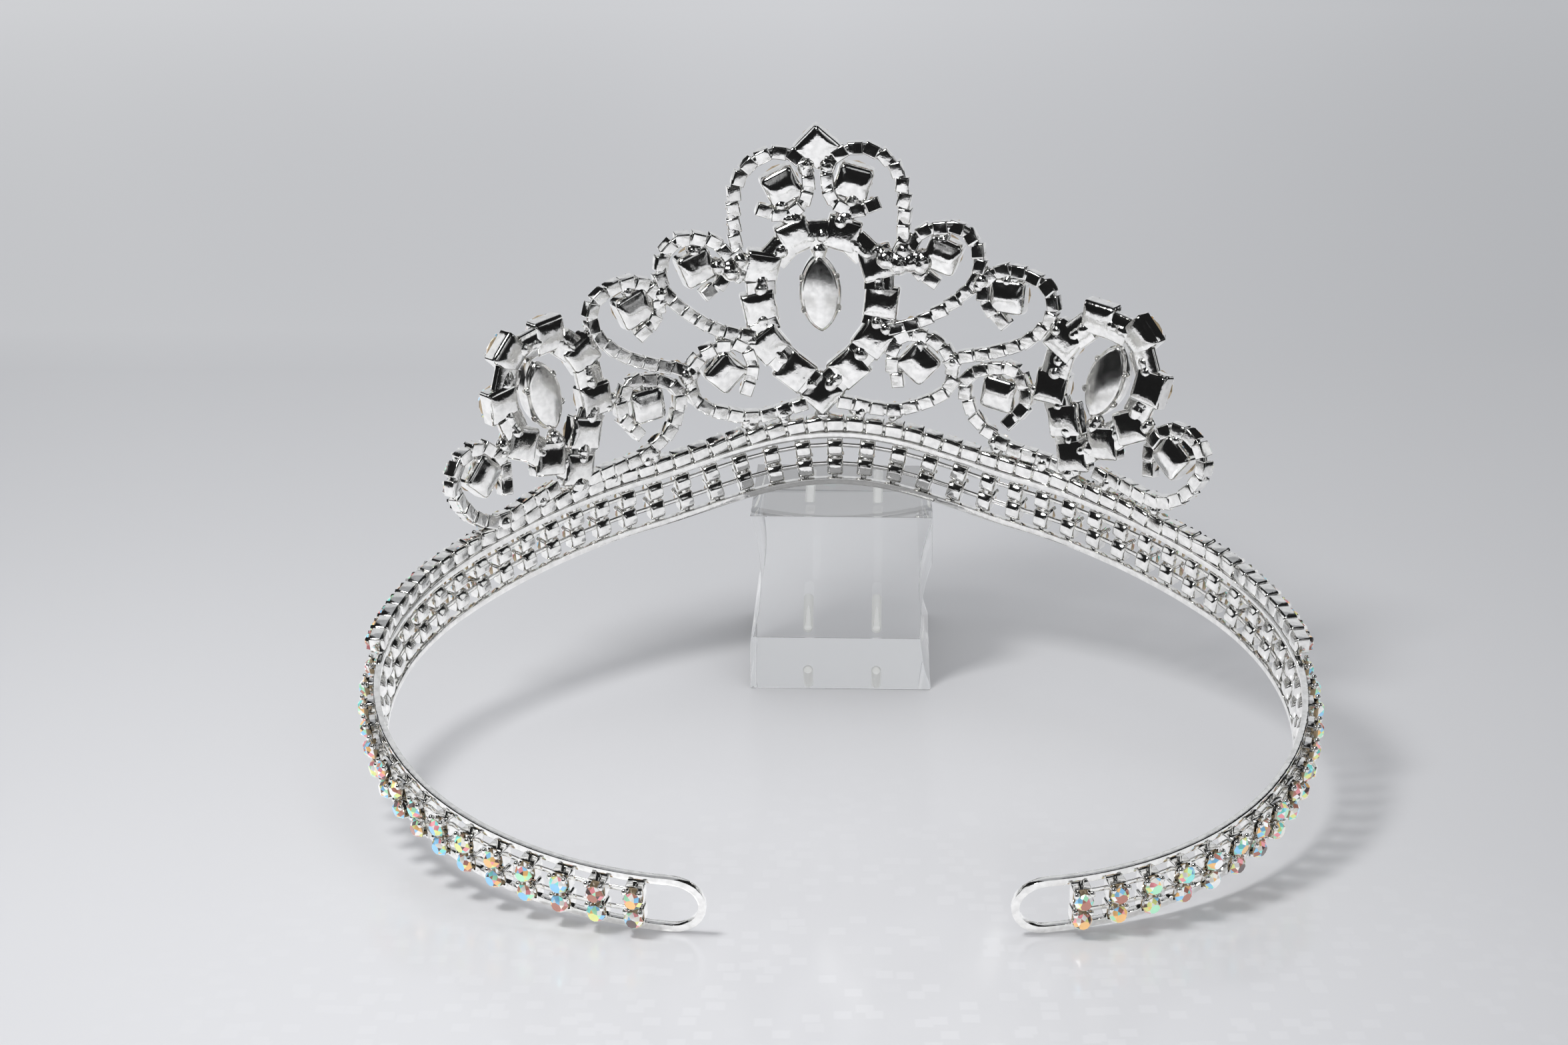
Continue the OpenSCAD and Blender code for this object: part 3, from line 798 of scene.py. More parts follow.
@dataclass(frozen=True)
class RoomFinish:
    """The dark room on the camera's side, with its bright windows, as silver sees it."""

    name: str
    # Bright patches: bearing from the camera's side, elevation, radius and strength.
    windows: tuple[tuple[float, float, float, float], ...]
    tone: Colour = (0.97, 0.98, 1.0)
    dark: float = 0.012
    wobble: float = 0.09
    wobble_scale: float = 5.0
    soft: float = 0.012

    def build(self) -> bpy.types.Material:
        """Makes the material.

        Returns:
            The material.
        """
        made = Shader(self.name)
        way = made.vector("NORMALIZE", made.where)
        drift = made.math("MULTIPLY_ADD", made.noise(self.wobble_scale, 2.0), self.wobble, -self.wobble / 2)
        lit = []
        for bearing, elevation, radius, strength in self.windows:
            b, e = math.radians(bearing), math.radians(elevation)
            centre = (math.sin(b) * math.cos(e), -math.cos(b) * math.cos(e), math.sin(e))
            near = made.math("ADD", made.measure("DOT_PRODUCT", way, centre), drift)
            edge = math.cos(math.radians(radius))
            lit.append(made.remap(near, edge - self.soft, edge + self.soft, self.dark, strength))
        total = lit[0]
        for patch in lit[1:]:
            total = made.math("MAXIMUM", total, patch)
        made.set(Base_Color=(0.0, 0.0, 0.0, 1.0), Roughness=1.0, Specular_IOR_Level=0.0,
                 Emission_Color=(*self.tone, 1.0), Emission_Strength=total)
        return made.material


# Geometry Nodes


class Tree(NodeGraph):
    """A Geometry Nodes tree with named inputs, applied once to an object."""

    def __init__(self, name: str) -> None:
        """Starts a tree with a geometry input and output.

        Args:
            name: the tree's name.
        """
        self.group = bpy.data.node_groups.new(name, "GeometryNodeTree")
        super().__init__(self.group)
        for way in ("INPUT", "OUTPUT"):
            self.group.interface.new_socket("Geometry", in_out=way, socket_type="NodeSocketGeometry")
        self.start = self.nodes.new("NodeGroupInput")
        self.end = self.nodes.new("NodeGroupOutput")

    def size(self, name: str, kind: str = "NodeSocketFloat") -> bpy.types.NodeSocket:
        """Adds a named input."""
        self.group.interface.new_socket(name, in_out="INPUT", socket_type=kind)
        return self.start.outputs[name]

    def read(self, name: str, kind: str = "FLOAT_VECTOR") -> bpy.types.NodeSocket:
        """Reads a named attribute."""
        return self.add("GeometryNodeInputNamedAttribute", {"Name": name},
                        data_type=kind).outputs["Attribute"]

    def centred_noise(self, scale: object, detail: float) -> bpy.types.NodeSocket:
        """Noise vectors round zero, by place."""
        noise = self.add("ShaderNodeTexNoise", {"Scale": scale, "Detail": detail}).outputs["Color"]
        return self.vector("SUBTRACT", noise, (0.5, 0.5, 0.5))

    def finish(self, geometry: bpy.types.NodeSocket) -> None:
        """Ends the tree: real instances, an uneven surface, a fire value for each face, and the material.

        Args:
            geometry: what is finished.
        """
        made = self.add("GeometryNodeRealizeInstances", {"Geometry": geometry}).outputs[0]
        amount, scale = self.size("Unevenness"), self.size("Uneven scale")
        offset = self.scaled(self.centred_noise(scale, 2.0), amount)
        made = self.add("GeometryNodeSetPosition", {"Geometry": made, "Offset": offset}).outputs[0]
        fire = self.add("FunctionNodeRandomValue", {"Seed": self.size("Seed", "NodeSocketInt")},
                        data_type="FLOAT").outputs[1]
        made = self.add("GeometryNodeStoreNamedAttribute", {"Geometry": made, "Name": "fire", "Value": fire},
                        data_type="FLOAT", domain="FACE").outputs[0]
        dressed = self.add("GeometryNodeSetMaterial",
                           {"Geometry": made, "Material": self.size("Finish", "NodeSocketMaterial")})
        self.links.new(dressed.outputs[0], self.end.inputs[0])

    def apply(self, obj: bpy.types.Object, values: dict[str, object]) -> bpy.types.Object:
        """Runs the tree on an object and leaves a plain mesh.

        Args:
            obj: the object it runs on.
            values: the named inputs.

        Returns:
            The same object with its new mesh.
        """
        modifier = obj.modifiers.new(self.group.name, "NODES")
        modifier.node_group = self.group
        for item in self.group.interface.items_tree:
            if item.item_type == "SOCKET" and item.in_out == "INPUT" and item.name in values:
                modifier[item.identifier] = values[item.name]
        return baked(obj)


def baked(obj: bpy.types.Object) -> bpy.types.Object:
    """Turns an object's modifiers into a plain mesh.

    Args:
        obj: the object.

    Returns:
        The same object with its new mesh and no modifier.
    """
    bpy.context.view_layer.update()
    graph = bpy.context.evaluated_depsgraph_get()
    mesh = bpy.data.meshes.new_from_object(obj.evaluated_get(graph), preserve_all_data_layers=True,
                                           depsgraph=graph)
    obj.modifiers.clear()
    obj.data = mesh
    return obj


def new_object(name: str, mesh: bpy.types.Mesh) -> bpy.types.Object:
    """Links a mesh into the scene.

    Args:
        name: the object's name.
        mesh: its mesh.

    Returns:
        The object.
    """
    obj = bpy.data.objects.new(name, mesh)
    bpy.context.scene.collection.objects.link(obj)
    return obj


def hide(obj: bpy.types.Object, *rays: str) -> None:
    """Hides an object from kinds of rays.

    Args:
        obj: the object.
        rays: the kinds.
    """
    for kind in rays:
        setattr(obj, f"visible_{kind}", False)


def setting_tree(name: str) -> Tree:
    """Tree that stands a shape at every point of a cloud, each a little turned.

    Args:
        name: the tree's name.

    Returns:
        The tree.
    """
    tree = Tree(name)
    shape = tree.add("GeometryNodeObjectInfo",
                     {"Object": tree.size("Shape", "NodeSocketObject")}).outputs["Geometry"]
    sway = tree.size("Sway")
    seed = tree.size("Draw", "NodeSocketInt")
    low, high = (tree.scaled((end, 0.4 * end, end), sway) for end in (-1, 1))
    swing = tree.add("FunctionNodeRandomValue", {0: low, 1: high, "Seed": seed},
                     data_type="FLOAT_VECTOR").outputs[0]
    bend = tree.scaled(tree.centred_noise(tree.size("Drift scale"), 1.0), tree.size("Drift"))
    own, extra = (tree.add("FunctionNodeEulerToRotation", {0: way}).outputs[0]
                  for way in (tree.read("turn"), tree.vector("ADD", swing, bend)))
    turn = tree.add("FunctionNodeRotateRotation", {0: own, 1: extra}, rotation_space="LOCAL").outputs[0]
    placed = tree.add("GeometryNodeInstanceOnPoints",
                      {"Points": tree.start.outputs["Geometry"], "Instance": shape, "Rotation": turn,
                       "Scale": tree.read("size")})
    tree.finish(placed.outputs[0])
    return tree


def wire_tree(name: str) -> Tree:
    """Tree that runs a rounded flat bar along a closed path.

    Args:
        name: the tree's name.

    Returns:
        The tree.
    """
    tree = Tree(name)
    path = tree.add("GeometryNodeMeshToCurve", {"Mesh": tree.start.outputs["Geometry"]}).outputs[0]
    path = tree.add("GeometryNodeSetCurveNormal", {"Curve": path, "Normal": tree.read("out")},
                    mode="FREE").outputs[0]
    bar = tree.add("GeometryNodeCurvePrimitiveQuadrilateral",
                   {"Width": tree.size("Thickness"), "Height": tree.size("Height")}).outputs[0]
    bar = tree.add("GeometryNodeFilletCurve", {"Curve": bar, "Radius": tree.size("Edge"), "Count": 2},
                   mode="POLY").outputs[0]
    tree.finish(tree.add("GeometryNodeCurveToMesh", {"Curve": path, "Profile Curve": bar}).outputs[0])
    return tree


def solder_tree(name: str) -> Tree:
    """Tree that melts balls of their own radius into one lumpy skin.

    Args:
        name: the tree's name.

    Returns:
        The tree.
    """
    tree = Tree(name)
    points = tree.add("GeometryNodeMeshToPoints", {"Mesh": tree.start.outputs["Geometry"],
                                                   "Radius": tree.read("ball", "FLOAT")}).outputs[0]
    grain = tree.size("Grain")
    volume = tree.add("GeometryNodePointsToVolume",
                      {"Points": points, "Voxel Size": grain, "Radius": tree.read("ball", "FLOAT")},
                      resolution_mode="VOXEL_SIZE").outputs[0]
    melted = tree.add("GeometryNodeVolumeToMesh",
                      {"Volume": volume, "Voxel Size": grain, "Threshold": 0.1, "Adaptivity": 0.0},
                      resolution_mode="VOXEL_SIZE").outputs[0]
    smooth = tree.add("GeometryNodeSetShadeSmooth", {"Geometry": melted, "Shade Smooth": True}).outputs[0]
    tree.finish(smooth)
    return tree


def cloud(name: str, frames: list[Matrix], sizes: list[Size]) -> bpy.types.Object:
    """A mesh of bare points that carry a turn and a size.

    Args:
        name: the object's name.
        frames: a frame for each point, in millimetres.
        sizes: a scale for each point.

    Returns:
        The object.
    """
    mesh = bpy.data.meshes.new(name)
    mesh.from_pydata([f.translation * MM for f in frames], [], [])
    turns = mesh.attributes.new("turn", "FLOAT_VECTOR", "POINT")
    scales = mesh.attributes.new("size", "FLOAT_VECTOR", "POINT")
    for i, frame in enumerate(frames):
        turns.data[i].vector = frame.to_euler("XYZ")
        scales.data[i].vector = sizes[i]
    return new_object(name, mesh)


# Shapes


def ring_of(half: float, y: float, corner: float, steps: int, spans: int = 1) -> list[Vector]:
    """A rounded square across y.

    Args:
        half: half its width.
        y: its place along y.
        corner: radius of its corners.
        steps: points on each corner.
        spans: spans along each straight side.

    Returns:
        The points, anticlockwise seen from -y.
    """
    corners = []
    for quarter in range(4):
        sx = 1 if quarter in (0, 3) else -1
        sz = 1 if quarter in (0, 1) else -1
        turns = [math.radians(90 * quarter + 90 * k / (steps - 1)) for k in range(steps)]
        corners.append([Vector((sx * (half - corner) + corner * math.cos(a), y,
                                sz * (half - corner) + corner * math.sin(a))) for a in turns])
    made = []
    for here, following in zip(corners, corners[1:] + corners[:1]):
        made += here
        made += [here[-1].lerp(following[0], k / spans) for k in range(1, spans)]
    return made


def circle(radius: float, y: float, count: int) -> list[Vector]:
    """A round ring across y.

    Args:
        radius: its radius.
        y: its place along y.
        count: points on it.

    Returns:
        The points.
    """
    turns = [math.tau * k / count for k in range(count)]
    return [Vector((radius * math.cos(a), y, radius * math.sin(a))) for a in turns]


def skin(rings: list[list[Vector]]) -> bmesh.types.BMesh:
    """Joins rings of equal count into one closed skin.

    Args:
        rings: the rings, each in the same order.

    Returns:
        A new bmesh, in metres.
    """
    bm = bmesh.new()
    rows = [[bm.verts.new(p * MM) for p in ring] for ring in rings]
    bm.faces.new(rows[0])
    for a, b in zip(rows, rows[1:]):
        join_rows(bm, a, b)
    bm.faces.new(list(reversed(rows[-1])))
    bmesh.ops.recalc_face_normals(bm, faces=bm.faces)
    return bm


def join_rows(bm: bmesh.types.BMesh, low: list[bmesh.types.BMVert],
              high: list[bmesh.types.BMVert]) -> list[bmesh.types.BMFace]:
    """Joins two closed rows of points by a band of faces.

    Args:
        bm: the bmesh of both.
        low: one row.
        high: the other row, in the same order.

    Returns:
        The faces.
    """
    count = len(low)
    return [bm.faces.new((low[k], low[(k + 1) % count], high[(k + 1) % count], high[k]))
            for k in range(count)]


def to_mesh(name: str, bm: bmesh.types.BMesh, sharp: float) -> bpy.types.Mesh:
    """Turns a bmesh into a mesh with smooth faces and sharp corners.

    Args:
        name: the mesh's name.
        bm: the bmesh, which is freed.
        sharp: angle in degrees from which an edge is sharp; 0 keeps every face flat.

    Returns:
        The mesh.
    """
    mesh = bpy.data.meshes.new(name)
    for face in bm.faces:
        face.smooth = sharp > 0
    bm.to_mesh(mesh)
    bm.free()
    if sharp > 0:
        mesh.set_sharp_from_angle(angle=math.radians(sharp))
    return mesh


# How a cup's back turns into its sides, as shares of the edge (inset, depth): a crisp bevel and a soft roll.
BEVEL = ((1.0, 0.0), (0.88, 0.03), (0.14, 0.74), (0.0, 1.1))
ROLL = ((1.0, 0.0), (0.62, 0.1), (0.28, 0.36), (0.06, 0.75), (0.0, 1.1))


@dataclass(frozen=True)
class CupShape:
    """A square stone cup: pressed back, tapered sides, a pocket and four claws."""

    name: str
    back: float
    front: float
    depth: float
    edge: float
    corner: float
    wall: float
    pocket: float
    claw: float
    reach: float
    dome: float = 0.0
    steps: int = 3
    spans: int = 1
    # Shares of the half width where a domed back has a ring, and of the depth where its sides have one.
    dome_at: tuple[float, ...] = (0.15, 0.35, 0.55, 0.75, 0.9)
    belly_at: float = 0.55
    # How the dome falls away: towards its short ends across x, and as a barrel across z.
    ends: int = 8
    barrel: float = 2.0
    # Share of the edge that the left and right sides have; the strip is rolled at top and bottom.
    side: float = 1.0
    # Share of the corners' radius that the back loses.
    tighter: float = 0.35
    sharp: float = 48.0
    turn: tuple[tuple[float, float], ...] = BEVEL
    # Share of the depth where claws start, and share of their reach that the tips stand up by.
    claw_foot: float = 0.85
    claw_tip: float = 1.15
    # The bead that ends each upper claw: radius, and its place as shares of the claw's width and reach.
    bead: float = 0.0
    bead_in: float = 0.35
    bead_up: float = 0.9

    def build(self) -> bpy.types.Object:
        """Builds the cup round y, with its back near y = 0.

        Returns:
            A prototype object.
        """
        b, f, d, e = self.back / 2, self.front / 2, self.depth, self.edge
        rings = []
        if self.dome:
            rings += [self.widened(self.pillow((b - e) * share, b - e), 1.0) for share in self.dome_at]
        for inset, y in self.turn:
            rings.append(self.widened(self.level(b - e * inset, e * y, 1 - self.tighter * inset), inset))
        if self.dome:
            rings.append(self.level((b + f) / 2, d * self.belly_at))
        rings += [self.level(f, d), self.level(f - self.wall, d), self.level(f - self.wall, d - self.pocket)]
        bm = skin(rings)
        self.add_claws(bm)
        return new_object(self.name, to_mesh(self.name, bm, self.sharp))

    def widened(self, ring: list[Vector], inset: float) -> list[Vector]:
        """Widens a ring of the back to its narrower edges at the sides.

        Args:
            ring: the ring.
            inset: share of the edge that the ring is set in by.

        Returns:
            The points.
        """
        half = self.back / 2
        wide = (half - self.edge * inset * self.side) / (half - self.edge * inset)
        return [Vector((p.x * wide, p.y, p.z)) for p in ring]

    def level(self, half: float, y: float, round_share: float = 1.0) -> list[Vector]:
        """One flat ring of the cup."""
        return ring_of(half, y, self.corner * round_share, self.steps, self.spans)

    def pillow(self, half: float, edge: float) -> list[Vector]:
        """One ring of the convex back, a barrel that lies across z with short rounded ends.

        Args:
            half: half the ring's width.
            edge: half the width of the whole back.

        Returns:
            The points.
        """
        made = ring_of(half, 0.0, min(half * 0.5, self.corner * (1 - self.tighter)), self.steps, self.spans)
        for point in made:
            across, along = (point.x / edge) ** self.ends, abs(point.z / edge) ** self.barrel
            point.y = -self.dome * (1 - across) * (1 - along)
        return made

    def add_claws(self, bm: bmesh.types.BMesh) -> None:
        """Adds four claws that stand on the corners and fold over the stone's edge.

        Args:
            bm: the cup, in metres.
        """
        f, d, w = self.front / 2, self.depth, self.claw
        foot_y, fold_y, tip_y = d * self.claw_foot, d + self.reach, d + self.reach * self.claw_tip
        # Each point's distance in from both sides, as shares of the claw's width, and its place along y.
        foot = ((0.0, 1.0, foot_y), (1.0, 0.0, foot_y), (0.8, 0.8, foot_y))
        fold = ((0.45, 1.05, fold_y), (1.05, 0.45, fold_y), (1.9, 1.9, tip_y))
        for sx in (-1, 1):
            for sz in (-1, 1):
                low, high = ([bm.verts.new(Vector((sx * (f - w * x), y, sz * (f - w * z))) * MM)
                              for x, z, y in end] for end in (foot, fold))
                faces = [bm.faces.new(high), bm.faces.new(low), *join_rows(bm, low, high)]
                bmesh.ops.recalc_face_normals(bm, faces=faces)
            if self.bead:
                middle = f - w * self.bead_in
                at = Matrix.Translation(Vector((sx * middle, d + self.reach * self.bead_up, middle)) * MM)
                bmesh.ops.create_uvsphere(bm, u_segments=8, v_segments=5, radius=self.bead * MM, matrix=at)


@dataclass(frozen=True)
class StoneShape:
    """A cut stone with its table towards y."""

    name: str
    half_w: float
    half_l: float
    height: float
    fine: bool = True
    # Shares of the outline at the table, the star facets and the blunt foot.
    table: float = 0.56
    star: float = 0.8
    foot: float = 0.45
    # Shares of the height at the star facets and at both edges of the girdle.
    star_y: float = 0.76
    girdle_y: tuple[float, float] = (0.42, 0.34)

    def radius(self, degrees: float) -> float:
        """Distance from the stone's axis to its outline.

        Args:
            degrees: direction, 0 towards z.

        Returns:
            The distance in millimetres.
        """
        if self.half_l <= self.half_w:
            return self.half_w
        arc = (self.half_w ** 2 + self.half_l ** 2) / (2 * self.half_w)
        c = abs(math.sin(math.radians(degrees))) * (arc - self.half_w)
        return math.sqrt(c * c + arc * arc - (arc - self.half_w) ** 2) - c

    def ring(self, count: int, share: float, y: float, turn: float = 0.0) -> list[Vector]:
        """Points on the outline at a share of its size.

        Args:
            count: how many.
            share: share of the outline's size.
            y: height above the stone's foot.
            turn: turn in degrees.

        Returns:
            The points.
        """
        made = []
        for k in range(count):
            a = 360 * k / count + turn
            h = heading(a) * self.radius(a) * share
            made.append(Vector((h.x, y, h.y)))
        return made

    def build(self) -> bpy.types.Object:
        """Builds the stone.

        Returns:
            A prototype object with a foil value on its faces.
        """
        bm = bmesh.new()
        foil = bm.faces.layers.float.new("foil")
        h = self.height
        count = 16 if self.fine else 8
        rings = (self.ring(8, self.table, h), self.ring(8, self.star, h * self.star_y, 22.5),
                 *(self.ring(count, 1.0, h * share) for share in self.girdle_y), self.ring(8, self.foot, 0.0))
        table, star, rim, belt, foot = ([bm.verts.new(p * MM) for p in ring] for ring in rings)
        bm.faces.new(table)
        back = [bm.faces.new(list(reversed(foot)))]
        for k in range(8):
            m = (k + 1) % 8
            bm.faces.new((table[k], table[m], star[k]))
            if self.fine:
                bm.faces.new((table[m], star[k], rim[m * 2], star[m]))
                bm.faces.new((star[k], rim[2 * k], rim[2 * k + 1]))
                bm.faces.new((star[k], rim[2 * k + 1], rim[m * 2]))
                back.append(bm.faces.new((belt[2 * k], belt[2 * k + 1], foot[k])))
                back.append(bm.faces.new((belt[2 * k + 1], foot[m], foot[k])))
                back.append(bm.faces.new((belt[2 * k + 1], belt[m * 2], foot[m])))
            else:
                bm.faces.new((table[m], star[k], rim[m], star[m]))
                bm.faces.new((star[k], rim[k], rim[m]))
                back.append(bm.faces.new((belt[k], belt[m], foot[m], foot[k])))
        for face in back + join_rows(bm, rim, belt):
            face[foil] = 1.0
        bmesh.ops.recalc_face_normals(bm, faces=bm.faces)
        return new_object(self.name, to_mesh(self.name, bm, 0))


def small_stone(name: str, diameter: float, share: float = 0.52) -> StoneShape:
    """A small round stone.

    Args:
        name: its name.
        diameter: its diameter.
        share: its height as a share of that.

    Returns:
        The shape.
    """
    return StoneShape(name, diameter / 2, diameter / 2, diameter * share, fine=False)


@dataclass(frozen=True)
class StripShape:
    """A flat link with bevelled edges, one millimetre long in x until it is scaled."""

    name: str
    thick: float
    tall: float
    edge: float
    sharp: float = 50.0

    def build(self) -> bpy.types.Object:
        """Builds the strip.

        Returns:
            A prototype object.
        """
        bm = bmesh.new()
        t, h, e = self.thick / 2, self.tall / 2, self.edge
        outline = [(-t, -h + e), (-t + e, -h), (t - e, -h), (t, -h + e),
                   (t, h - e), (t - e, h), (-t + e, h), (-t, h - e)]
        ends = [[bm.verts.new(Vector((x, y, z)) * MM) for y, z in outline] for x in (-0.5, 0.5)]
        bm.faces.new(ends[0])
        bm.faces.new(list(reversed(ends[1])))
        join_rows(bm, *ends)
        bmesh.ops.recalc_face_normals(bm, faces=bm.faces)
        return new_object(self.name, to_mesh(self.name, bm, self.sharp))


@dataclass(frozen=True)
class NavetteShape:
    """The pressed setting of a pointed stone: convex back, thin flange and a raised wall round the stone."""

    name: str
    half_w: float
    half_l: float
    flange: float
    depth: float
    dome: float
    # Share of a full oval in the pointed outline.
    full: float = 0.45
    steps: int = 64
    sharp: float = 48.0
    # Where the back has a ring, as shares of the outline, and the height that it curves down from.
    back_at: tuple[float, ...] = (0.06, 0.18, 0.3, 0.42, 0.54, 0.66, 0.77, 0.87, 0.95)
    back_y: float = 0.35

    def ring(self, share: float, grow: float, y: float) -> list[Vector]:
        """A pointed oval.

        Args:
            share: share of the stone's outline.
            grow: added all round.
            y: its place along y.

        Returns:
            The points.
        """
        stone = StoneShape("outline", self.half_w, self.half_l, 1.0)
        made = []
        for k in range(self.steps):
            a = 360 * k / self.steps
            way = heading(a)
            oval = self.half_w * self.half_l / math.hypot(self.half_l * way.x, self.half_w * way.y)
            h = way * ((stone.radius(a) * (1 - self.full) + oval * self.full) * share + grow)
            made.append(Vector((h.x, y, h.y)))
        return made

    def build(self) -> bpy.types.Object:
        """Builds the setting.

        Returns:
            A prototype object.
        """
        g, d = self.flange, self.depth
        rings = [self.ring(share, 0, self.back_y - self.dome * (1 - share ** 2)) for share in self.back_at]
        # How far the flange and the wall stand out from the outline, and their heights, from back to front.
        steps = ((-0.1, 0.42), (0.0, 0.7), (g * 0.35, 1.0), (g, 1.15), (g, 1.4), (g * 0.7, d * 0.72),
                 (g * 0.45, d), (0.15, d), (0.12, d - 1.0))
        rings += [self.ring(1.0, grow, y) for grow, y in steps]
        return new_object(self.name, to_mesh(self.name, skin(rings), self.sharp))


@dataclass(frozen=True)
class NotchShape:
    """A small round hole with a raised lip, as the claws of a pointed setting leave."""

    name: str
    radius: float
    lip: float
    depth: float
    count: int = 14
    sharp: float = 60.0

    def build(self) -> bpy.types.Object:
        """Builds the notch round y, opening towards -y.

        Returns:
            A prototype object.
        """
        r, wide, d = self.radius, self.radius + self.lip, self.depth
        steps = ((r * 0.9, d), (r, 0.05), (r + self.lip * 0.5, -0.06), (wide, 0.05), (wide, d + 0.2))
        rings = [circle(radius, y, self.count) for radius, y in steps]
        return new_object(self.name, to_mesh(self.name, skin(rings), self.sharp))


# The object


@dataclass
class Kit:
    """What every sub-assembly needs: the plan, the trees and the finishes."""

    plan: BandPlan
    settings: Tree
    wire: Tree
    solder: Tree
    silver: bpy.types.Material
    worn_silver: bpy.types.Material
    solder_silver: bpy.types.Material
    brushed_silver: bpy.types.Material
    crystal: bpy.types.Material
    large_crystal: bpy.types.Material
    # Scales of the turn that neighbours share and of the dents, in cells a metre.
    drift_scale: float = 90.0
    dent_scale: float = 420.0

    def stand_on(self, name: str, shape: bpy.types.Object, frames: list[Matrix], finish: bpy.types.Material,
                 seed: int, *, sway: float, uneven: float = 0.0, drift: float = 0.0,
                 slot: Slot = Slot.METAL, size: Size | list[Size] = (1.0, 1.0, 1.0)) -> bpy.types.Object:
        """Stands one shape on many frames as one finished piece.

        Args:
            name: the piece's name.
            shape: the prototype, removed afterwards.
            frames: where it stands, in millimetres.
            finish: the material.
            seed: random seed.
            sway: largest turn about each axis, in degrees.
            uneven: how far points are pushed about, in millimetres.
            drift: turn that neighbours share, in degrees.
            slot: the record's slot.
            size: a scale for all frames, or one for each.

        Returns:
            The piece.
        """
        piece = cloud(name, frames, size if isinstance(size, list) else [size] * len(frames))
        self.settings.apply(piece, {"Shape": shape, "Sway": math.radians(sway), "Draw": seed, "Seed": seed,
                                    "Drift": math.radians(drift), "Drift scale": self.drift_scale,
                                    "Unevenness": uneven * MM, "Uneven scale": self.dent_scale,
                                    "Finish": finish})
        bpy.data.objects.remove(shape)
        return self.ride(piece, slot)

    def ride(self, piece: bpy.types.Object, slot: Slot) -> bpy.types.Object:
        """Puts a piece on the body.

        Args:
            piece: the finished piece.
            slot: the record's slot; not used.

        Returns:
            The piece.
        """
        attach(piece, "root")
        LOG.info("%s: %d faces", piece.name, len(piece.data.polygons))
        return piece


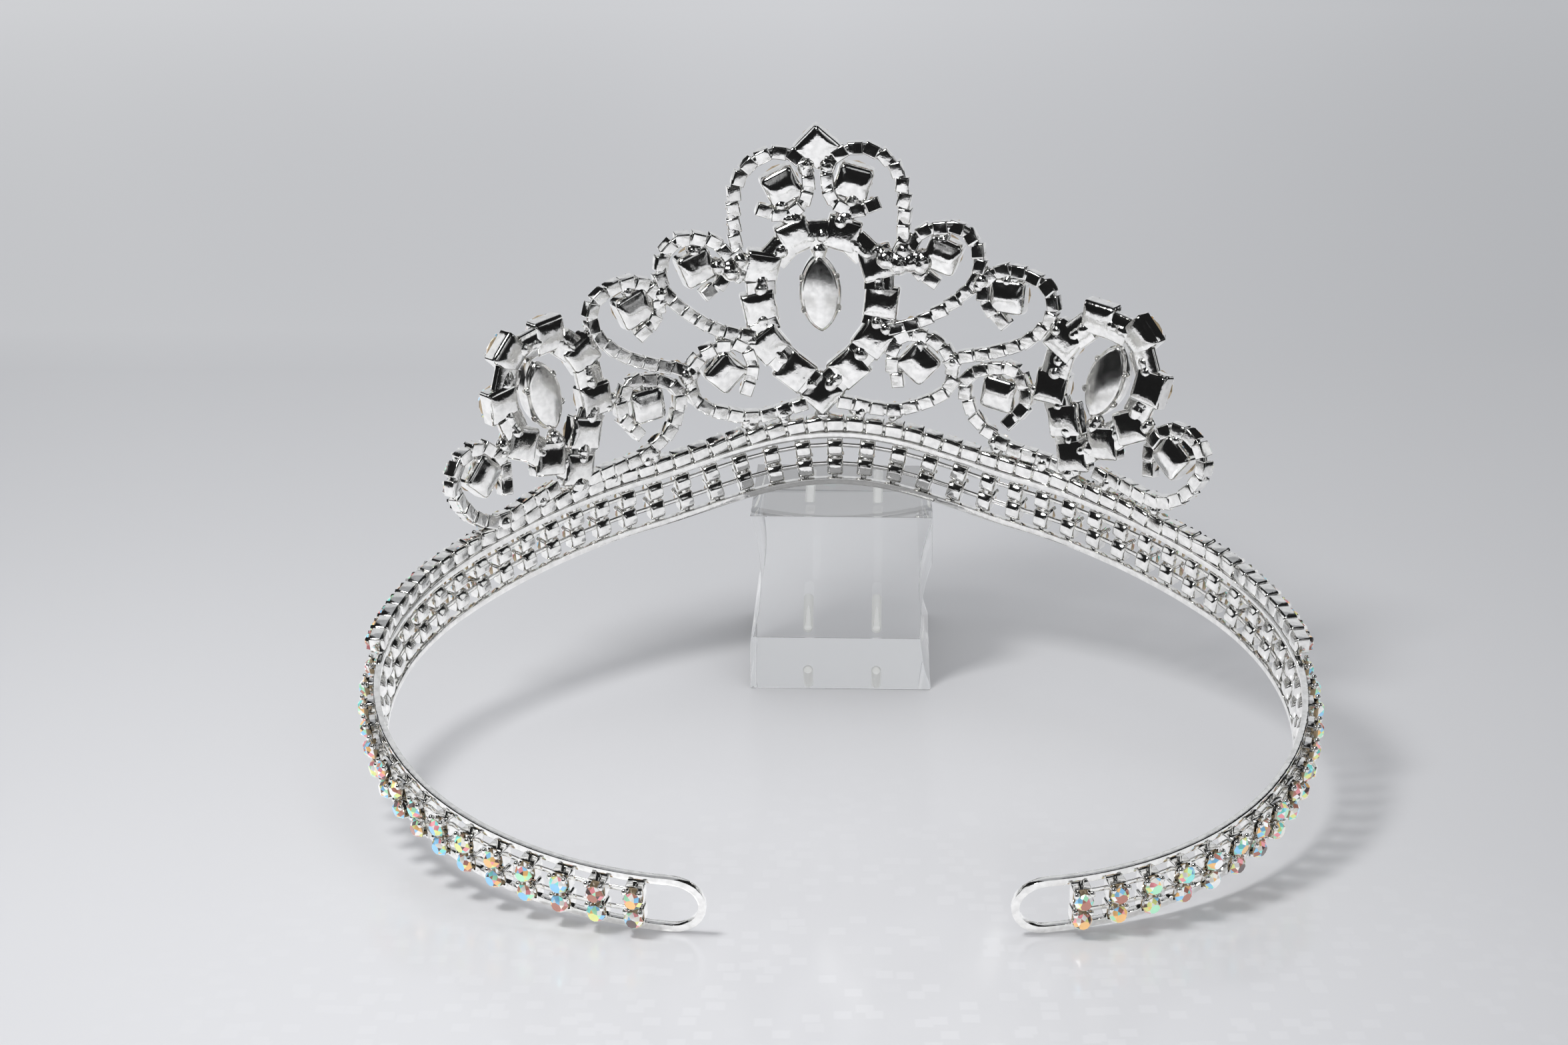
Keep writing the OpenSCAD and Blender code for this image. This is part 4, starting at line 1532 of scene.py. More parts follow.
@dataclass
class Band:
    """The two rails with their end loops, and the double row of cups and stones between them."""

    kit: Kit
    columns: int = 33
    column_pitch: float = 5.05
    row_pitch: float = 3.45
    cup: float = 2.85
    cup_depth: float = 2.35
    cup_seat: float = -0.4
    cup_size: Size = (0.95, 1.0, 1.12)
    stone_d: float = 2.85
    stone_seat: float = 2.1
    strip_tall: float = 0.8
    strip_rise: float = 0.35
    strip_seat: float = 0.95
    bar_seat: float = 0.75
    path_step: float = 2.0
    rail_edge: float = 0.09
    rail_dents: float = 0.05
    rail_dent_scale: float = 160.0
    rail_sharp: float = 40.0

    def build(self) -> None:
        """Builds the rails, cups, links and stones."""
        self.build_rails()
        self.build_cups()
        self.build_links()
        self.build_stones()

    def rail_path(self) -> list[tuple[float, float]]:
        """The closed path of the flat bar round both rails and both end loops.

        Returns:
            (along the band, up its face) pairs.
        """
        plan = self.kit.plan
        r = (plan.band_h - plan.rail_h) / 2
        reach = plan.half_length - r - plan.rail_h / 2
        mid = plan.band_h / 2
        n = round(2 * reach / self.path_step)
        made = []
        for side, first, t in ((1, -75, plan.rail_h / 2), (-1, 105, plan.band_h - plan.rail_h / 2)):
            made += [(side * reach * (2 * i / n - 1), t) for i in range(n + 1)]
            made += [(side * reach + r * math.cos(math.radians(a)), mid + r * math.sin(math.radians(a)))
                     for a in range(first, first + 165, 15)]
        return made

    def build_rails(self) -> None:
        """Runs one flat bar along the path."""
        plan = self.kit.plan
        spots = self.rail_path()
        mesh = bpy.data.meshes.new("band_rails")
        points = [plan.place(s, t, plan.rail_w / 2) * MM for s, t in spots]
        mesh.from_pydata(points, [(i, (i + 1) % len(points)) for i in range(len(points))], [])
        out = mesh.attributes.new("out", "FLOAT_VECTOR", "POINT")
        for i, (s, t) in enumerate(spots):
            out.data[i].vector = (plan.place(s, t, 1) - plan.place(s, t)).normalized()
        piece = new_object("band_rails", mesh)
        self.kit.wire.apply(piece, {"Thickness": plan.rail_w * MM, "Height": plan.rail_h * MM,
                                    "Edge": self.rail_edge * MM, "Unevenness": self.rail_dents * MM,
                                    "Uneven scale": self.rail_dent_scale, "Seed": 3,
                                    "Finish": self.kit.silver})
        for polygon in piece.data.polygons:
            polygon.use_smooth = True
        piece.data.set_sharp_from_angle(angle=math.radians(self.rail_sharp))
        self.kit.ride(piece, Slot.METAL)
        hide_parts("tiara_metal")

    def frames(self, y: float) -> list[Matrix]:
        """Frames of the band's cups.

        Args:
            y: distance outward.

        Returns:
            The frames.
        """
        made = []
        for i in range(-self.columns, self.columns + 1):
            base = self.kit.plan.frame(i * self.column_pitch, self.kit.plan.band_h / 2)
            made += [moved(base, 0, y, row * self.row_pitch / 2) for row in (-1, 1)]
        return made

    def build_cups(self) -> None:
        """Builds both rows of cups."""
        shape = CupShape("band_cup", back=self.cup, front=self.cup, depth=self.cup_depth, edge=0.9,
                         corner=0.3, wall=0.22, pocket=0.45, claw=0.8, reach=0.9, side=0.4, bead=0.46)
        self.kit.stand_on("band_cups", shape.build(), self.frames(self.cup_seat), self.kit.silver, 11,
                          sway=2.5, uneven=0.06, drift=12, size=self.cup_size)

    def build_links(self) -> None:
        """Builds the strips between neighbouring cups and the upright bars behind them."""
        plan = self.kit.plan
        frames = []
        for i in range(-self.columns, self.columns):
            base = plan.frame((i + 0.5) * self.column_pitch, plan.band_h / 2)
            frames += [moved(base, 0, self.strip_seat, row * self.row_pitch / 2 + self.strip_rise)
                       for row in (-1, 1)]
        shape = StripShape("band_link", thick=0.3, tall=self.strip_tall, edge=0.08)
        self.kit.stand_on("band_links", shape.build(), frames, self.kit.silver, 12, sway=1.0, uneven=0.03,
                          size=(self.column_pitch - self.cup * 0.6, 1.0, 1.0))
        turned = [moved(plan.frame(i * self.column_pitch, plan.band_h / 2, 90), 0, self.bar_seat, 0)
                  for i in range(-self.columns, self.columns + 1)]
        shape = StripShape("band_bar", thick=0.5, tall=0.9, edge=0.1)
        self.kit.stand_on("band_bars", shape.build(), turned, self.kit.silver, 13, sway=0.5, uneven=0.03,
                          size=(plan.band_h - plan.rail_h, 1.0, 1.0))

    def build_stones(self) -> None:
        """Builds the band's stones."""
        piece = self.kit.stand_on("band_crystals", small_stone("band_crystal", self.stone_d).build(),
                                  self.frames(self.stone_seat), self.kit.crystal, 14, sway=4.0,
                                  slot=Slot.CRYSTAL)
        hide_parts("band_stones")


@dataclass
class CrestChain:
    """The single row of touching cups along the upper rail."""

    kit: Kit
    cups: int = 30
    pitch: float = 3.17
    cup: float = 2.6
    cup_depth: float = 2.2
    stretch: float = 1.19
    drop: float = 1.3
    link_seat: float = 0.9
    link_share: float = 0.6
    stone_d: float = 2.35
    stone_seat: float = 1.95

    def frames(self, y: float, shift: float = 0.0) -> list[Matrix]:
        """Frames of the chain's cups.

        Args:
            y: distance outward.
            shift: 0.5 for the places between them, which are one fewer.

        Returns:
            The frames.
        """
        plan = self.kit.plan
        return [moved(plan.frame((i + shift) * self.pitch, plan.crest_top - self.drop), 0, y, 0)
                for i in range(-self.cups, self.cups + (0 if shift else 1))]

    def build(self) -> None:
        """Builds the cups, links and stones."""
        kit = self.kit
        shape = CupShape("crest_cup", back=self.cup, front=self.cup, depth=self.cup_depth, edge=0.5,
                         corner=0.25, wall=0.2, pocket=0.4, claw=0.5, reach=0.7, side=0.5)
        kit.stand_on("crest_cups", shape.build(), self.frames(0.0), kit.worn_silver, 21, sway=2.0,
                     uneven=0.15, drift=34, size=(self.stretch, 1.0, 1.0))
        shape = StripShape("crest_link", thick=0.8, tall=1.7, edge=0.2)
        kit.stand_on("crest_links", shape.build(), self.frames(self.link_seat, 0.5), kit.solder_silver, 22,
                     sway=3.0, uneven=0.25, size=(self.pitch * self.link_share, 1.0, 1.0))
        piece = kit.stand_on("crest_crystals", small_stone("crest_crystal", self.stone_d).build(),
                             self.frames(self.stone_seat), kit.crystal, 23, sway=4.0, slot=Slot.CRYSTAL)
        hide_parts("crest_stones")


@dataclass
class ScrollChains:
    """The curled chains of the smallest cups."""

    kit: Kit
    pitch: float = 2.65
    cup: float = 2.15
    stretch: float = 1.2
    depth: float = 1.9
    link_seat: float = 0.6
    link_share: float = 0.7
    stone_d: float = 2.0
    stone_sunk: float = 0.3

    def build(self) -> None:
        """Builds the cups, links and stones of all twelve scrolls."""
        kit = self.kit
        cups, links = [], []
        for side in Side:
            for route in SCROLLS.values():
                frames = scroll_frames(kit.plan, route, side, self.pitch)
                cups += frames[0::2]
                links += [moved(f, 0, self.link_seat, 0) for f in frames[1::2]]
        shape = CupShape("scroll_cup", back=self.cup, front=self.cup - 0.05, depth=self.depth, edge=0.22,
                         corner=0.14, wall=0.16, pocket=0.35, claw=0.45, reach=0.6)
        kit.stand_on("scroll_cups", shape.build(), cups, kit.worn_silver, 31, sway=1.2, uneven=0.1, drift=44,
                     size=(self.stretch, 1.0, 1.0))
        shape = StripShape("scroll_link", thick=0.95, tall=1.8, edge=0.15)
        kit.stand_on("scroll_links", shape.build(), links, kit.solder_silver, 32, sway=2.5, uneven=0.2,
                     size=(self.pitch * self.link_share, 1.0, 1.0))
        kit.stand_on("scroll_crystals", small_stone("scroll_crystal", self.stone_d).build(),
                     [moved(f, 0, self.depth - self.stone_sunk, 0) for f in cups], kit.crystal, 33, sway=5.0,
                     slot=Slot.CRYSTAL)


@dataclass
class LargeSettings:
    """The rings of large cups, the centre cups of the scrolls and their stones."""

    kit: Kit
    ring_stone: float = 5.5
    curl_stone: float = 6.2
    ring_back: float = 5.7
    curl_back: float = 5.8
    cup_depth: float = 2.5
    seat: float = 2.15
    # The flat links between cups: the topmost one's tip, their seat, and the share of a cup they leave free.
    link_nod: float = 6.0
    link_seat: float = 0.85
    link_free: float = 0.75

    def ring_frames(self) -> list[Matrix]:
        """Frames of the centre ring and the finial's top cup.

        Returns:
            The frames.
        """
        plan = self.kit.plan
        made = [plan.crest_frame(CENTRE_RING[0], Side.RIGHT, BOTTOM_NOD),
                plan.crest_frame(FINIAL, Side.RIGHT, FINIAL_NOD)]
        return made + self.halves(CENTRE_RING[1:], RING_NODS)

    def halves(self, cups: tuple[Cup, ...], nods: dict[Side, tuple[float, ...]]) -> list[Matrix]:
        """Frames of cups that stand on both halves."""
        return [self.kit.plan.crest_frame(c, side, nod) for side in Side for c, nod in zip(cups, nods[side])]

    def build(self) -> None:
        """Builds the cups and the stones."""
        kit = self.kit
        ring, oval = self.ring_frames(), self.halves(OVAL_RING, OVAL_NODS)
        curls = [kit.plan.crest_frame((c[0], c[1], turn), side, nod) for side in Side
                 for c, turn, nod in zip(CURL_CUPS, CURL_TURNS[side], CURL_NODS[side])]
        shape = CupShape("ring_cup", back=self.ring_back, front=self.ring_stone + 0.15, depth=self.cup_depth,
                         edge=0.6, corner=0.45, wall=0.25, pocket=0.8, claw=1.0, reach=1.25, dome=0.2,
                         steps=4, spans=5, barrel=3.0, side=0.55)
        kit.stand_on("ring_cups", shape.build(), ring + oval, kit.silver, 41, sway=2.5, uneven=0.07, drift=10)
        shape = CupShape("curl_cup", back=self.curl_back, front=self.curl_stone - 0.2, depth=self.cup_depth,
                         edge=0.8, corner=0.9, wall=0.25, pocket=0.8, claw=1.1, reach=1.35, dome=0.4, steps=4,
                         spans=5, side=0.45, turn=ROLL)
        kit.stand_on("curl_cups", shape.build(), curls, kit.worn_silver, 42, sway=2.5, uneven=0.12, drift=10)
        links, sizes = self.ring_links()
        shape = StripShape("ring_link", thick=1.4, tall=4.9, edge=0.3)
        kit.stand_on("ring_links", shape.build(), links, kit.silver, 46, sway=2.5, uneven=0.2, size=sizes)
        self.stones("ring_crystals", ring, self.ring_stone, 43,
                    [*(f"ring_stone_{i}" for i in range(1, 12)), "finial_stone_top"])
        self.stones("oval_crystals", oval, self.ring_stone, 44, ["oval_stones_left", "oval_stones_right"])
        names = ("finial", "upper", "outer", "side", "foot", "end")
        self.stones("curl_crystals", curls, self.curl_stone, 45,
                    [f"{name}_stone_{side}" for name in names for side in ("left", "right")])

    def ring_links(self) -> tuple[list[Matrix], list[Size]]:
        """Frames and sizes of the flat links between the cups of the rings.

        Returns:
            (frames, sizes).
        """
        pairs = [(CENTRE_RING[-1], Side.LEFT, CENTRE_RING[-1], Side.RIGHT, self.link_nod)]
        for side in Side:
            for ring, following, nods in ((CENTRE_RING, CENTRE_RING[1:], RING_NODS),
                                          (OVAL_RING, OVAL_RING[1:] + OVAL_RING[:1], OVAL_NODS)):
                pairs += [(a, side, b, side, nod) for a, b, nod in zip(ring, following, nods[side])]
        plan = self.kit.plan
        frames, sizes = [], []
        for a, side_a, b, side_b, nod in pairs:
            p, q = plan.crest_point(a[0], a[1], side_a), plan.crest_point(b[0], b[1], side_b)
            middle, way = (p + q) / 2, q - p
            turn = math.degrees(math.atan2(way.y, way.x))
            frames.append(moved(plan.frame(middle.x, middle.y, turn, nod), 0, self.link_seat, 0))
            gap = (plan.place(*q) - plan.place(*p)).length - self.ring_back * self.link_free
            sizes.append((max(1.0, gap), 1.0, 1.0))
        return frames, sizes

    def stones(self, name: str, frames: list[Matrix], diameter: float, seed: int, nodes: list[str]) -> None:
        """Builds one family of round stones.

        Args:
            name: the piece's name.
            frames: the cups' frames.
            diameter: the stones' diameter.
            seed: random seed.
            nodes: the CAD nodes that the piece stands for.
        """
        shape = StoneShape(name + "_cut", diameter / 2, diameter / 2, diameter * 0.5)
        piece = self.kit.stand_on(name, shape.build(), [moved(f, 0, self.seat, 0) for f in frames],
                                  self.kit.large_crystal, seed, sway=1.5, slot=Slot.CRYSTAL)
        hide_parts(*nodes)


@dataclass
class PointedSettings:
    """The three pointed stones in their pressed settings."""

    kit: Kit
    half_w: float = 3.0
    half_l: float = 6.3
    flange: float = 0.45
    depth: float = 3.1
    dome: float = 0.55
    stone_sunk: float = 0.88
    # How far each back is tipped: centre, left and right.
    nods: tuple[float, float, float] = (4.5, 9.5, -3.0)
    notch_x: float = 2.75
    notch_z: float = 2.7
    notch_seat: float = 0.55

    def build(self) -> None:
        """Builds the settings, their notches and the stones."""
        kit = self.kit
        frames = [kit.plan.crest_frame(NAVETTES[0], Side.RIGHT)]
        frames += [kit.plan.crest_frame(NAVETTES[1], side) for side in Side]
        frames = [f @ Matrix.Rotation(math.radians(nod), 4, "X") for f, nod in zip(frames, self.nods)]
        shape = NavetteShape("navette_cup", self.half_w, self.half_l, self.flange, self.depth, self.dome)
        kit.stand_on("navette_cups", shape.build(), frames, kit.brushed_silver, 51, sway=0.5, uneven=0.015)
        spots = [moved(f, x * self.notch_x, self.notch_seat, z * self.notch_z) for f in frames
                 for x in (-1, 1) for z in (-1, 1)]
        shape = NotchShape("navette_notch", radius=0.36, lip=0.24, depth=0.6)
        kit.stand_on("navette_notches", shape.build(), spots, kit.worn_silver, 52, sway=2.0)
        shape = StoneShape("navette_cut", self.half_w, self.half_l, self.half_w)
        piece = kit.stand_on("navette_crystals", shape.build(),
                             [moved(f, 0, self.depth - self.stone_sunk, 0) for f in frames],
                             kit.large_crystal, 53, sway=0.5, slot=Slot.CRYSTAL)
        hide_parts("navette_centre", "navette_left", "navette_right")


@dataclass
class Solder:
    """The melted joints between cups, chains and rings."""

    kit: Kit
    grain: float = 0.24
    seed: int = 7
    # Each joint is a few balls round its place: how many, how far they spread and how flat they lie.
    each: int = 4
    spread: float = 0.7
    flat: float = 0.3
    seat: float = 0.9
    # Between two large cups: the balls' radius, their seat, and their places as shares of the way.
    web: float = 1.3
    web_seat: float = 1.2
    web_at: tuple[float, ...] = (0.3, 0.42, 0.5, 0.58, 0.7)
    # Single balls on the middle line, and in each oval ring under its pointed stone: (along, above, radius).
    middle: tuple[Cup, ...] = ((0, 0.8, 1.3), (0, 28.4, 1.4), (0, 27.6, 1.2))
    under: tuple[Cup, ...] = ((44.6, 10.2, 1.2), (44.2, 9.2, 1.4))
    # The large melted mass at the upper right of the centre ring: (along, above, radius).
    mass: tuple[Cup, ...] = ((9.6, 27.4, 2.0), (11.4, 27.0, 2.1), (13.2, 27.6, 1.9), (15.0, 28.4, 1.9))
    mass_seat: float = 1.0
    lumps: float = 0.32
    lump_scale: float = 450.0

    def balls(self) -> list[Ball]:
        """Places and radii of the melted balls.

        Returns:
            (place in millimetres, radius in millimetres) pairs.
        """
        draw = random.Random(self.seed)
        made = []
        rings = ((OVAL_RING, OVAL_RING[1:] + OVAL_RING[:1]), (CENTRE_RING, CENTRE_RING[1:]))
        for side in Side:
            for along, above, radius in SOLDER:
                frame = self.kit.plan.crest_frame((along, above, 0), side)
                for _ in range(self.each):
                    way = Vector((draw.uniform(-1, 1), draw.uniform(-self.flat, self.flat),
                                  draw.uniform(-1, 1)))
                    made.append((frame @ (Vector((0, self.seat, 0)) + way * radius * self.spread),
                                 radius * draw.uniform(0.65, 1.05)))
            for ring, following in rings:
                for a, b in zip(ring, following):
                    made += self.bridge(a, side, b, side, draw)
        made += self.bridge(CENTRE_RING[-1], Side.LEFT, CENTRE_RING[-1], Side.RIGHT, draw)
        made += [self.ball(spot, Side.RIGHT, self.web_seat) for spot in self.middle]
        made += [self.ball(spot, Side.RIGHT, self.mass_seat) for spot in self.mass]
        made += [self.ball(spot, side, self.web_seat) for side in Side for spot in self.under]
        return made

    def ball(self, spot: Cup, side: Side, seat: float) -> Ball:
        """One ball by itself."""
        return self.kit.plan.crest_frame((spot[0], spot[1], 0), side) @ Vector((0, seat, 0)), spot[2]

    def bridge(self, a: Cup, side_a: Side, b: Cup, side_b: Side, draw: random.Random) -> list[Ball]:
        """Balls between two neighbouring large cups.

        Args:
            a: one cup.
            side_a: its half.
            b: the other cup.
            side_b: its half.
            draw: random numbers.

        Returns:
            (place, radius) pairs.
        """
        plan = self.kit.plan
        p, q = plan.crest_point(a[0], a[1], side_a), plan.crest_point(b[0], b[1], side_b)
        made = []
        for w in self.web_at:
            s, t = p.lerp(q, w)
            made.append((plan.frame(s, t) @ Vector((0, self.web_seat + draw.uniform(-0.2, 0.2), 0)),
                         self.web * draw.uniform(0.85, 1.15)))
        return made

    def build(self) -> None:
        """Builds all the solder as one piece."""
        balls = self.balls()
        mesh = bpy.data.meshes.new("solder_joints")
        mesh.from_pydata([place * MM for place, _ in balls], [], [])
        size = mesh.attributes.new("ball", "FLOAT", "POINT")
        for i, (_, radius) in enumerate(balls):
            size.data[i].value = radius * MM
        piece = new_object("solder_joints", mesh)
        self.kit.solder.apply(piece, {"Grain": self.grain * MM, "Unevenness": self.lumps * MM,
                                      "Uneven scale": self.lump_scale, "Seed": 61,
                                      "Finish": self.kit.solder_silver})
        self.kit.ride(piece, Slot.METAL)


@dataclass
class Stand:
    """The clear block: upright front, leaning back, two hollowed sides and two peg holes."""

    kit: Kit
    clear: bpy.types.Material
    frosted: bpy.types.Material
    width: float = 30.0
    foot_d: float = 40.0
    top_d: float = 31.0
    height: float = 30.0
    waist: float = 1.8
    waist_h: float = 22.0
    shift: float = 1.5
    turn: float = 1.5
    peg_d: float = 1.7
    peg_l: float = 8.5
    peg_gap: float = 11.8
    peg_z: float = 7.8
    peg_slope: float = 30.0
    peg_count: int = 32
    # How far each drill stands out of the rear face.
    peg_out: float = 2.0
    rows: int = 60
    edge: float = 0.14
    # Angles in degrees from which an edge is rounded off, and from which it is sharp.
    corner: float = 40.0
    sharp: float = 30.0

    def side_x(self, side: Side, z: float) -> float:
        """How far a hollowed side stands from the block's middle.

        Args:
            side: which side.
            z: height.

        Returns:
            The distance in millimetres.
        """
        r = ((self.waist_h / 2) ** 2 + self.waist ** 2) / (2 * self.waist)
        middle = self.waist_h / 2 if side is Side.RIGHT else self.height - self.waist_h / 2
        off = z - middle
        if abs(off) >= self.waist_h / 2:
            return self.width / 2
        return self.width / 2 - self.waist + r - math.sqrt(r * r - off * off)

    def back_y(self, z: float) -> float:
        """How far the leaning rear face stands back."""
        return self.foot_d / 2 - (self.foot_d - self.top_d) * z / self.height

    def build(self) -> None:
        """Builds the block with its holes."""
        bm = bmesh.new()
        rows = []
        for k in range(self.rows + 1):
            z = self.height * k / self.rows
            left, right = -self.side_x(Side.LEFT, z), self.side_x(Side.RIGHT, z)
            front, back = -self.foot_d / 2, self.back_y(z)
            rows.append([bm.verts.new(Vector((x, y, z)) * MM)
                         for x, y in ((left, front), (right, front), (right, back), (left, back))])
        bm.faces.new(list(reversed(rows[0])))
        bm.faces.new(rows[-1])
        for low, high in zip(rows, rows[1:]):
            join_rows(bm, low, high)
        bmesh.ops.recalc_face_normals(bm, faces=bm.faces)
        corners = [e for e in bm.edges if e.is_manifold and e.calc_face_angle(0) > math.radians(self.corner)]
        bmesh.ops.bevel(bm, geom=corners, offset=self.edge * MM, segments=2, profile=0.5, affect="EDGES")
        block = new_object("stand_block", to_mesh("stand_block", bm, self.sharp))
        block.data.materials.append(self.clear)
        for side in Side:
            self.drill(block, side)
        turned = Matrix.Rotation(math.radians(-self.turn), 4, "Z")
        for polygon in block.data.polygons:
            polygon.use_smooth = polygon.material_index == 1 or abs(polygon.normal.x) > 0.8
        block.data.transform(Matrix.Translation((self.shift * MM, 0, 0)) @ turned)
        self.kit.ride(block, Slot.ACRYLIC)
        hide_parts("stand")

    def drill(self, block: bpy.types.Object, side: Side) -> None:
        """Cuts one blind hole with a rounded bottom and a frosted wall.

        Args:
            block: the block.
            side: which hole.
        """
        r, end = self.peg_d / 2, -self.peg_l
        steps = ((r, self.peg_out), (r, end + r * 0.5), (r * 0.8, end + r * 0.15), (r * 0.4, end))
        bm = skin([circle(radius, y, self.peg_count) for radius, y in steps])
        mouth = Vector((side.value * self.peg_gap / 2, self.back_y(self.peg_z), self.peg_z)) * MM
        bm.transform(Matrix.Translation(mouth) @ Matrix.Rotation(math.radians(self.peg_slope), 4, "X"))
        tool = new_object("peg_hole", to_mesh("peg_hole", bm, self.corner))
        tool.data.materials.append(self.frosted)
        cut = block.modifiers.new("hole", "BOOLEAN")
        cut.object = tool
        cut.solver = "EXACT"
        cut.material_mode = "TRANSFER"
        baked(block)
        bpy.data.objects.remove(tool)


@dataclass
class Studio:
    """Floor, backdrop, lights, the dark room that silver needs, and the camera."""

    floor_tone: Colour = (0.785, 0.785, 0.803)
    floor_back: Colour = (0.85, 0.85, 0.865)
    # The backdrop's tones at the left, in the middle and at the right; the much darker right is painted
    # shade.
    walls: tuple[Colour, Colour, Colour] = ((0.88, 0.88, 0.885), (0.89, 0.89, 0.905), (0.57, 0.575, 0.59))
    wall_y: float = 0.215
    wall_soft: float = 0.02
    floor_z: float = -0.00005
    floor_r: float = 4.0
    surround: Colour = (0.94, 0.96, 1.0)
    surround_strength: float = 0.39
    # Soft lights: name, place, size and power. Only the key is seen in silver.
    lamps: tuple[tuple[str, Size, float, float], ...] = (
        ("key", (-0.135, -0.2, 0.315), 0.08, 0.6), ("fill", (0.15, -0.6, 0.5), 0.5, 0.55),
        ("top", (0.1, 0.1, 0.8), 0.5, 0.6))
    # The dark room: radius, where its floor starts, how high that lies, and half its turn in degrees.
    room_r: float = 1.5
    skirt_r: float = 0.24
    room_z: float = 0.001
    room_turn: int = 145
    windows: tuple[tuple[float, float, float, float], ...] = (
        (-95, 30, 16, 0.85), (80, 26, 17, 0.8), (20, 30, 7, 0.8), (-14, 12, 5, 0.8), (40, 8, 6, 0.8))
    # The pale sheet far behind: its corners, its two tones, and how much dimmer the clear block sees it.
    sheet: tuple[Size, ...] = ((-2, 1.3, 0.001), (2, 1.3, 0.001), (2, 1.0, 1.6), (-2, 1.0, 1.6))
    sheet_tones: tuple[Colour, Colour] = ((0.6, 0.61, 0.63), (0.7, 0.71, 0.73))
    sheet_dimmed: float = 0.12
    camera_at: Size = (-0.00491, -0.52045, 0.182)
    camera_tip: float = 73.0
    camera_turn: float = 0.4
    lens: float = 73.22
    sensor: float = 36.0

    def build(self) -> None:
        """Builds the whole studio."""
        self.build_floor()
        self.build_lights()
        self.build_room()
        self.build_glow()
        self.build_camera()

    def quad(self, name: str, corners: tuple[Size, ...], finish: bpy.types.Material) -> bpy.types.Object:
        """A flat four-cornered sheet of the studio.

        Args:
            name: its name.
            corners: its corners in metres.
            finish: its material.

        Returns:
            The object.
        """
        mesh = bpy.data.meshes.new(name)
        mesh.from_pydata(corners, [], [(0, 1, 2, 3)])
        mesh.materials.append(finish)
        obj = new_object(name, mesh)
        return obj

    def build_floor(self) -> None:
        """Builds the floor, which becomes the backdrop behind the object."""
        paper = StudioFinish("pale_paper", tone=self.floor_tone, back_tone=self.floor_back, walls=self.walls,
                             line_y=self.wall_y, soft=self.wall_soft).build()
        r, z = self.floor_r, self.floor_z
        self.quad("floor", ((-r, -r, z), (r, -r, z), (r, r, z), (-r, r, z)), paper)

    def build_lights(self) -> None:
        """Builds the soft lights and the pale surround."""
        world = bpy.data.worlds.new("surround")
        bpy.context.scene.world = world
        world.use_nodes = True
        sky = world.node_tree.nodes["Background"]
        sky.inputs["Color"].default_value = (*self.surround, 1.0)
        sky.inputs["Strength"].default_value = self.surround_strength
        for name, at, size, power in self.lamps:
            lamp = bpy.data.lights.new(name, "AREA")
            lamp.shape = "SQUARE"
            lamp.size = size
            lamp.energy = power
            obj = bpy.data.objects.new(name, lamp)
            obj.location = at
            obj.rotation_euler = (-Vector(at)).to_track_quat("-Z", "Y").to_euler()
            hide(obj, "transmission")
            if name != "key":
                hide(obj, "glossy")
            bpy.context.scene.collection.objects.link(obj)

    def build_room(self) -> None:
        """Builds the dark room that only reflections see: a floor round the pale table under a dome."""
        bm = bmesh.new()
        r, z = self.room_r, self.room_z
        shape = [(self.skirt_r, z), (r, z)]
        shape += [(r * math.cos(math.radians(a)), r * math.sin(math.radians(a)) + z)
                  for a in range(10, 81, 10)]
        rows = [[bm.verts.new((r * math.sin(math.radians(b)), -r * math.cos(math.radians(b)), z))
                 for b in range(-self.room_turn, self.room_turn + 1, 10)] for r, z in shape]
        for level, (low, high) in enumerate(zip(rows, rows[1:])):
            # The three lowest rows end three faces earlier on each side.
            cut = 3 if level < 3 else 0
            for k in range(cut, len(low) - 1 - cut):
                bm.faces.new((low[k], low[k + 1], high[k + 1], high[k]))
        room = new_object("dark_room", to_mesh("dark_room", bm, 30))
        room.data.materials.append(RoomFinish("dark_room", self.windows).build())
        hide(room, "camera", "diffuse", "shadow", "transmission")

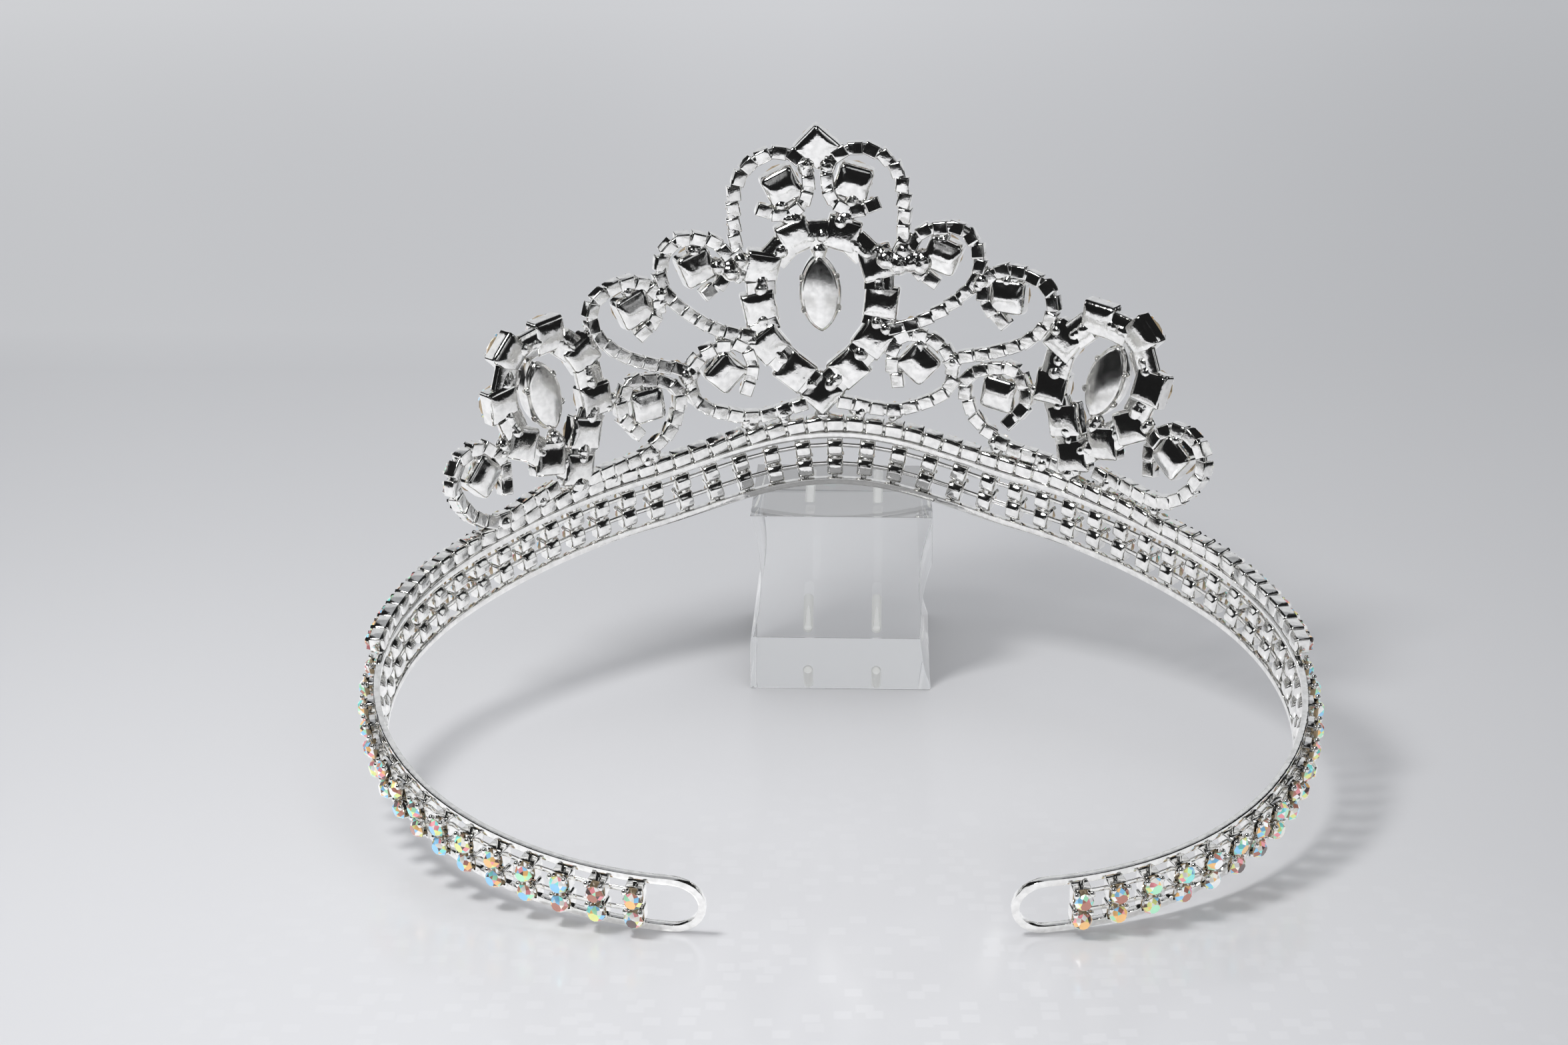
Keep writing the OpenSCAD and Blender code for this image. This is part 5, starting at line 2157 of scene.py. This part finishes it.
    def build_glow(self) -> None:
        """Stands a pale sheet far behind, which only reflections and the clear block see."""
        pale = Shader("pale_sheet")
        path = pale.add("ShaderNodeLightPath", {}).outputs["Is Transmission Ray"]
        pale.set(Base_Color=(0.0, 0.0, 0.0, 1.0), Specular_IOR_Level=0.0,
                 Emission_Color=pale.ramp(pale.noise(2.0), list(zip((0.3, 0.7), self.sheet_tones))),
                 Emission_Strength=pale.math("MULTIPLY_ADD", path, -self.sheet_dimmed, 1.0))
        sheet = self.quad("pale_sheet", self.sheet, pale.material)
        hide(sheet, "camera", "diffuse", "shadow")

    def build_camera(self) -> None:
        """Stands the camera where the photograph was taken from."""
        data = bpy.data.cameras.new("photo_camera")
        data.sensor_width = self.sensor
        data.lens = self.lens
        camera = bpy.data.objects.new("photo_camera", data)
        camera.location = self.camera_at
        camera.rotation_euler = (math.radians(self.camera_tip), 0, math.radians(self.camera_turn))
        bpy.context.scene.collection.objects.link(camera)
        bpy.context.scene.camera = camera
        bpy.context.scene.view_settings.view_transform = "Standard"


def main() -> None:
    """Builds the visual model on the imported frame."""
    logging.basicConfig(level=logging.INFO, format="%(message)s")
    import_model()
    kit = Kit(
        plan=BandPlan(),
        settings=setting_tree("settings_on_points"),
        wire=wire_tree("flat_wire"),
        solder=solder_tree("melted_solder"),
        silver=SilverFinish("polished_silver").build(),
        worn_silver=SilverFinish("handled_silver", rough_low=0.06, rough_high=0.14, pit_strength=0.4).build(),
        solder_silver=SilverFinish("solder_silver", rough_low=0.06, rough_high=0.17, pit_depth=0.00007,
                                   pit_strength=0.7).build(),
        brushed_silver=SilverFinish("brushed_silver", rough_low=0.13, rough_high=0.2, pit_strength=0.12,
                                    dent_share=0.6).build(),
        crystal=CrystalFinish("rainbow_crystal").build(),
        large_crystal=CrystalFinish("large_rainbow_crystal", metallic=0.45).build(),
    )
    for part in (Band, CrestChain, ScrollChains, LargeSettings, PointedSettings, Solder):
        part(kit).build()
    # The frosted holes' glow is painted light.
    Stand(kit, clear=AcrylicFinish("clear_acrylic").build(),
          frosted=AcrylicFinish("frosted_acrylic", rough=0.5, cloud=0.5, glow=0.3).build()).build()
    Studio().build()


if __name__ == "__main__":
    main()
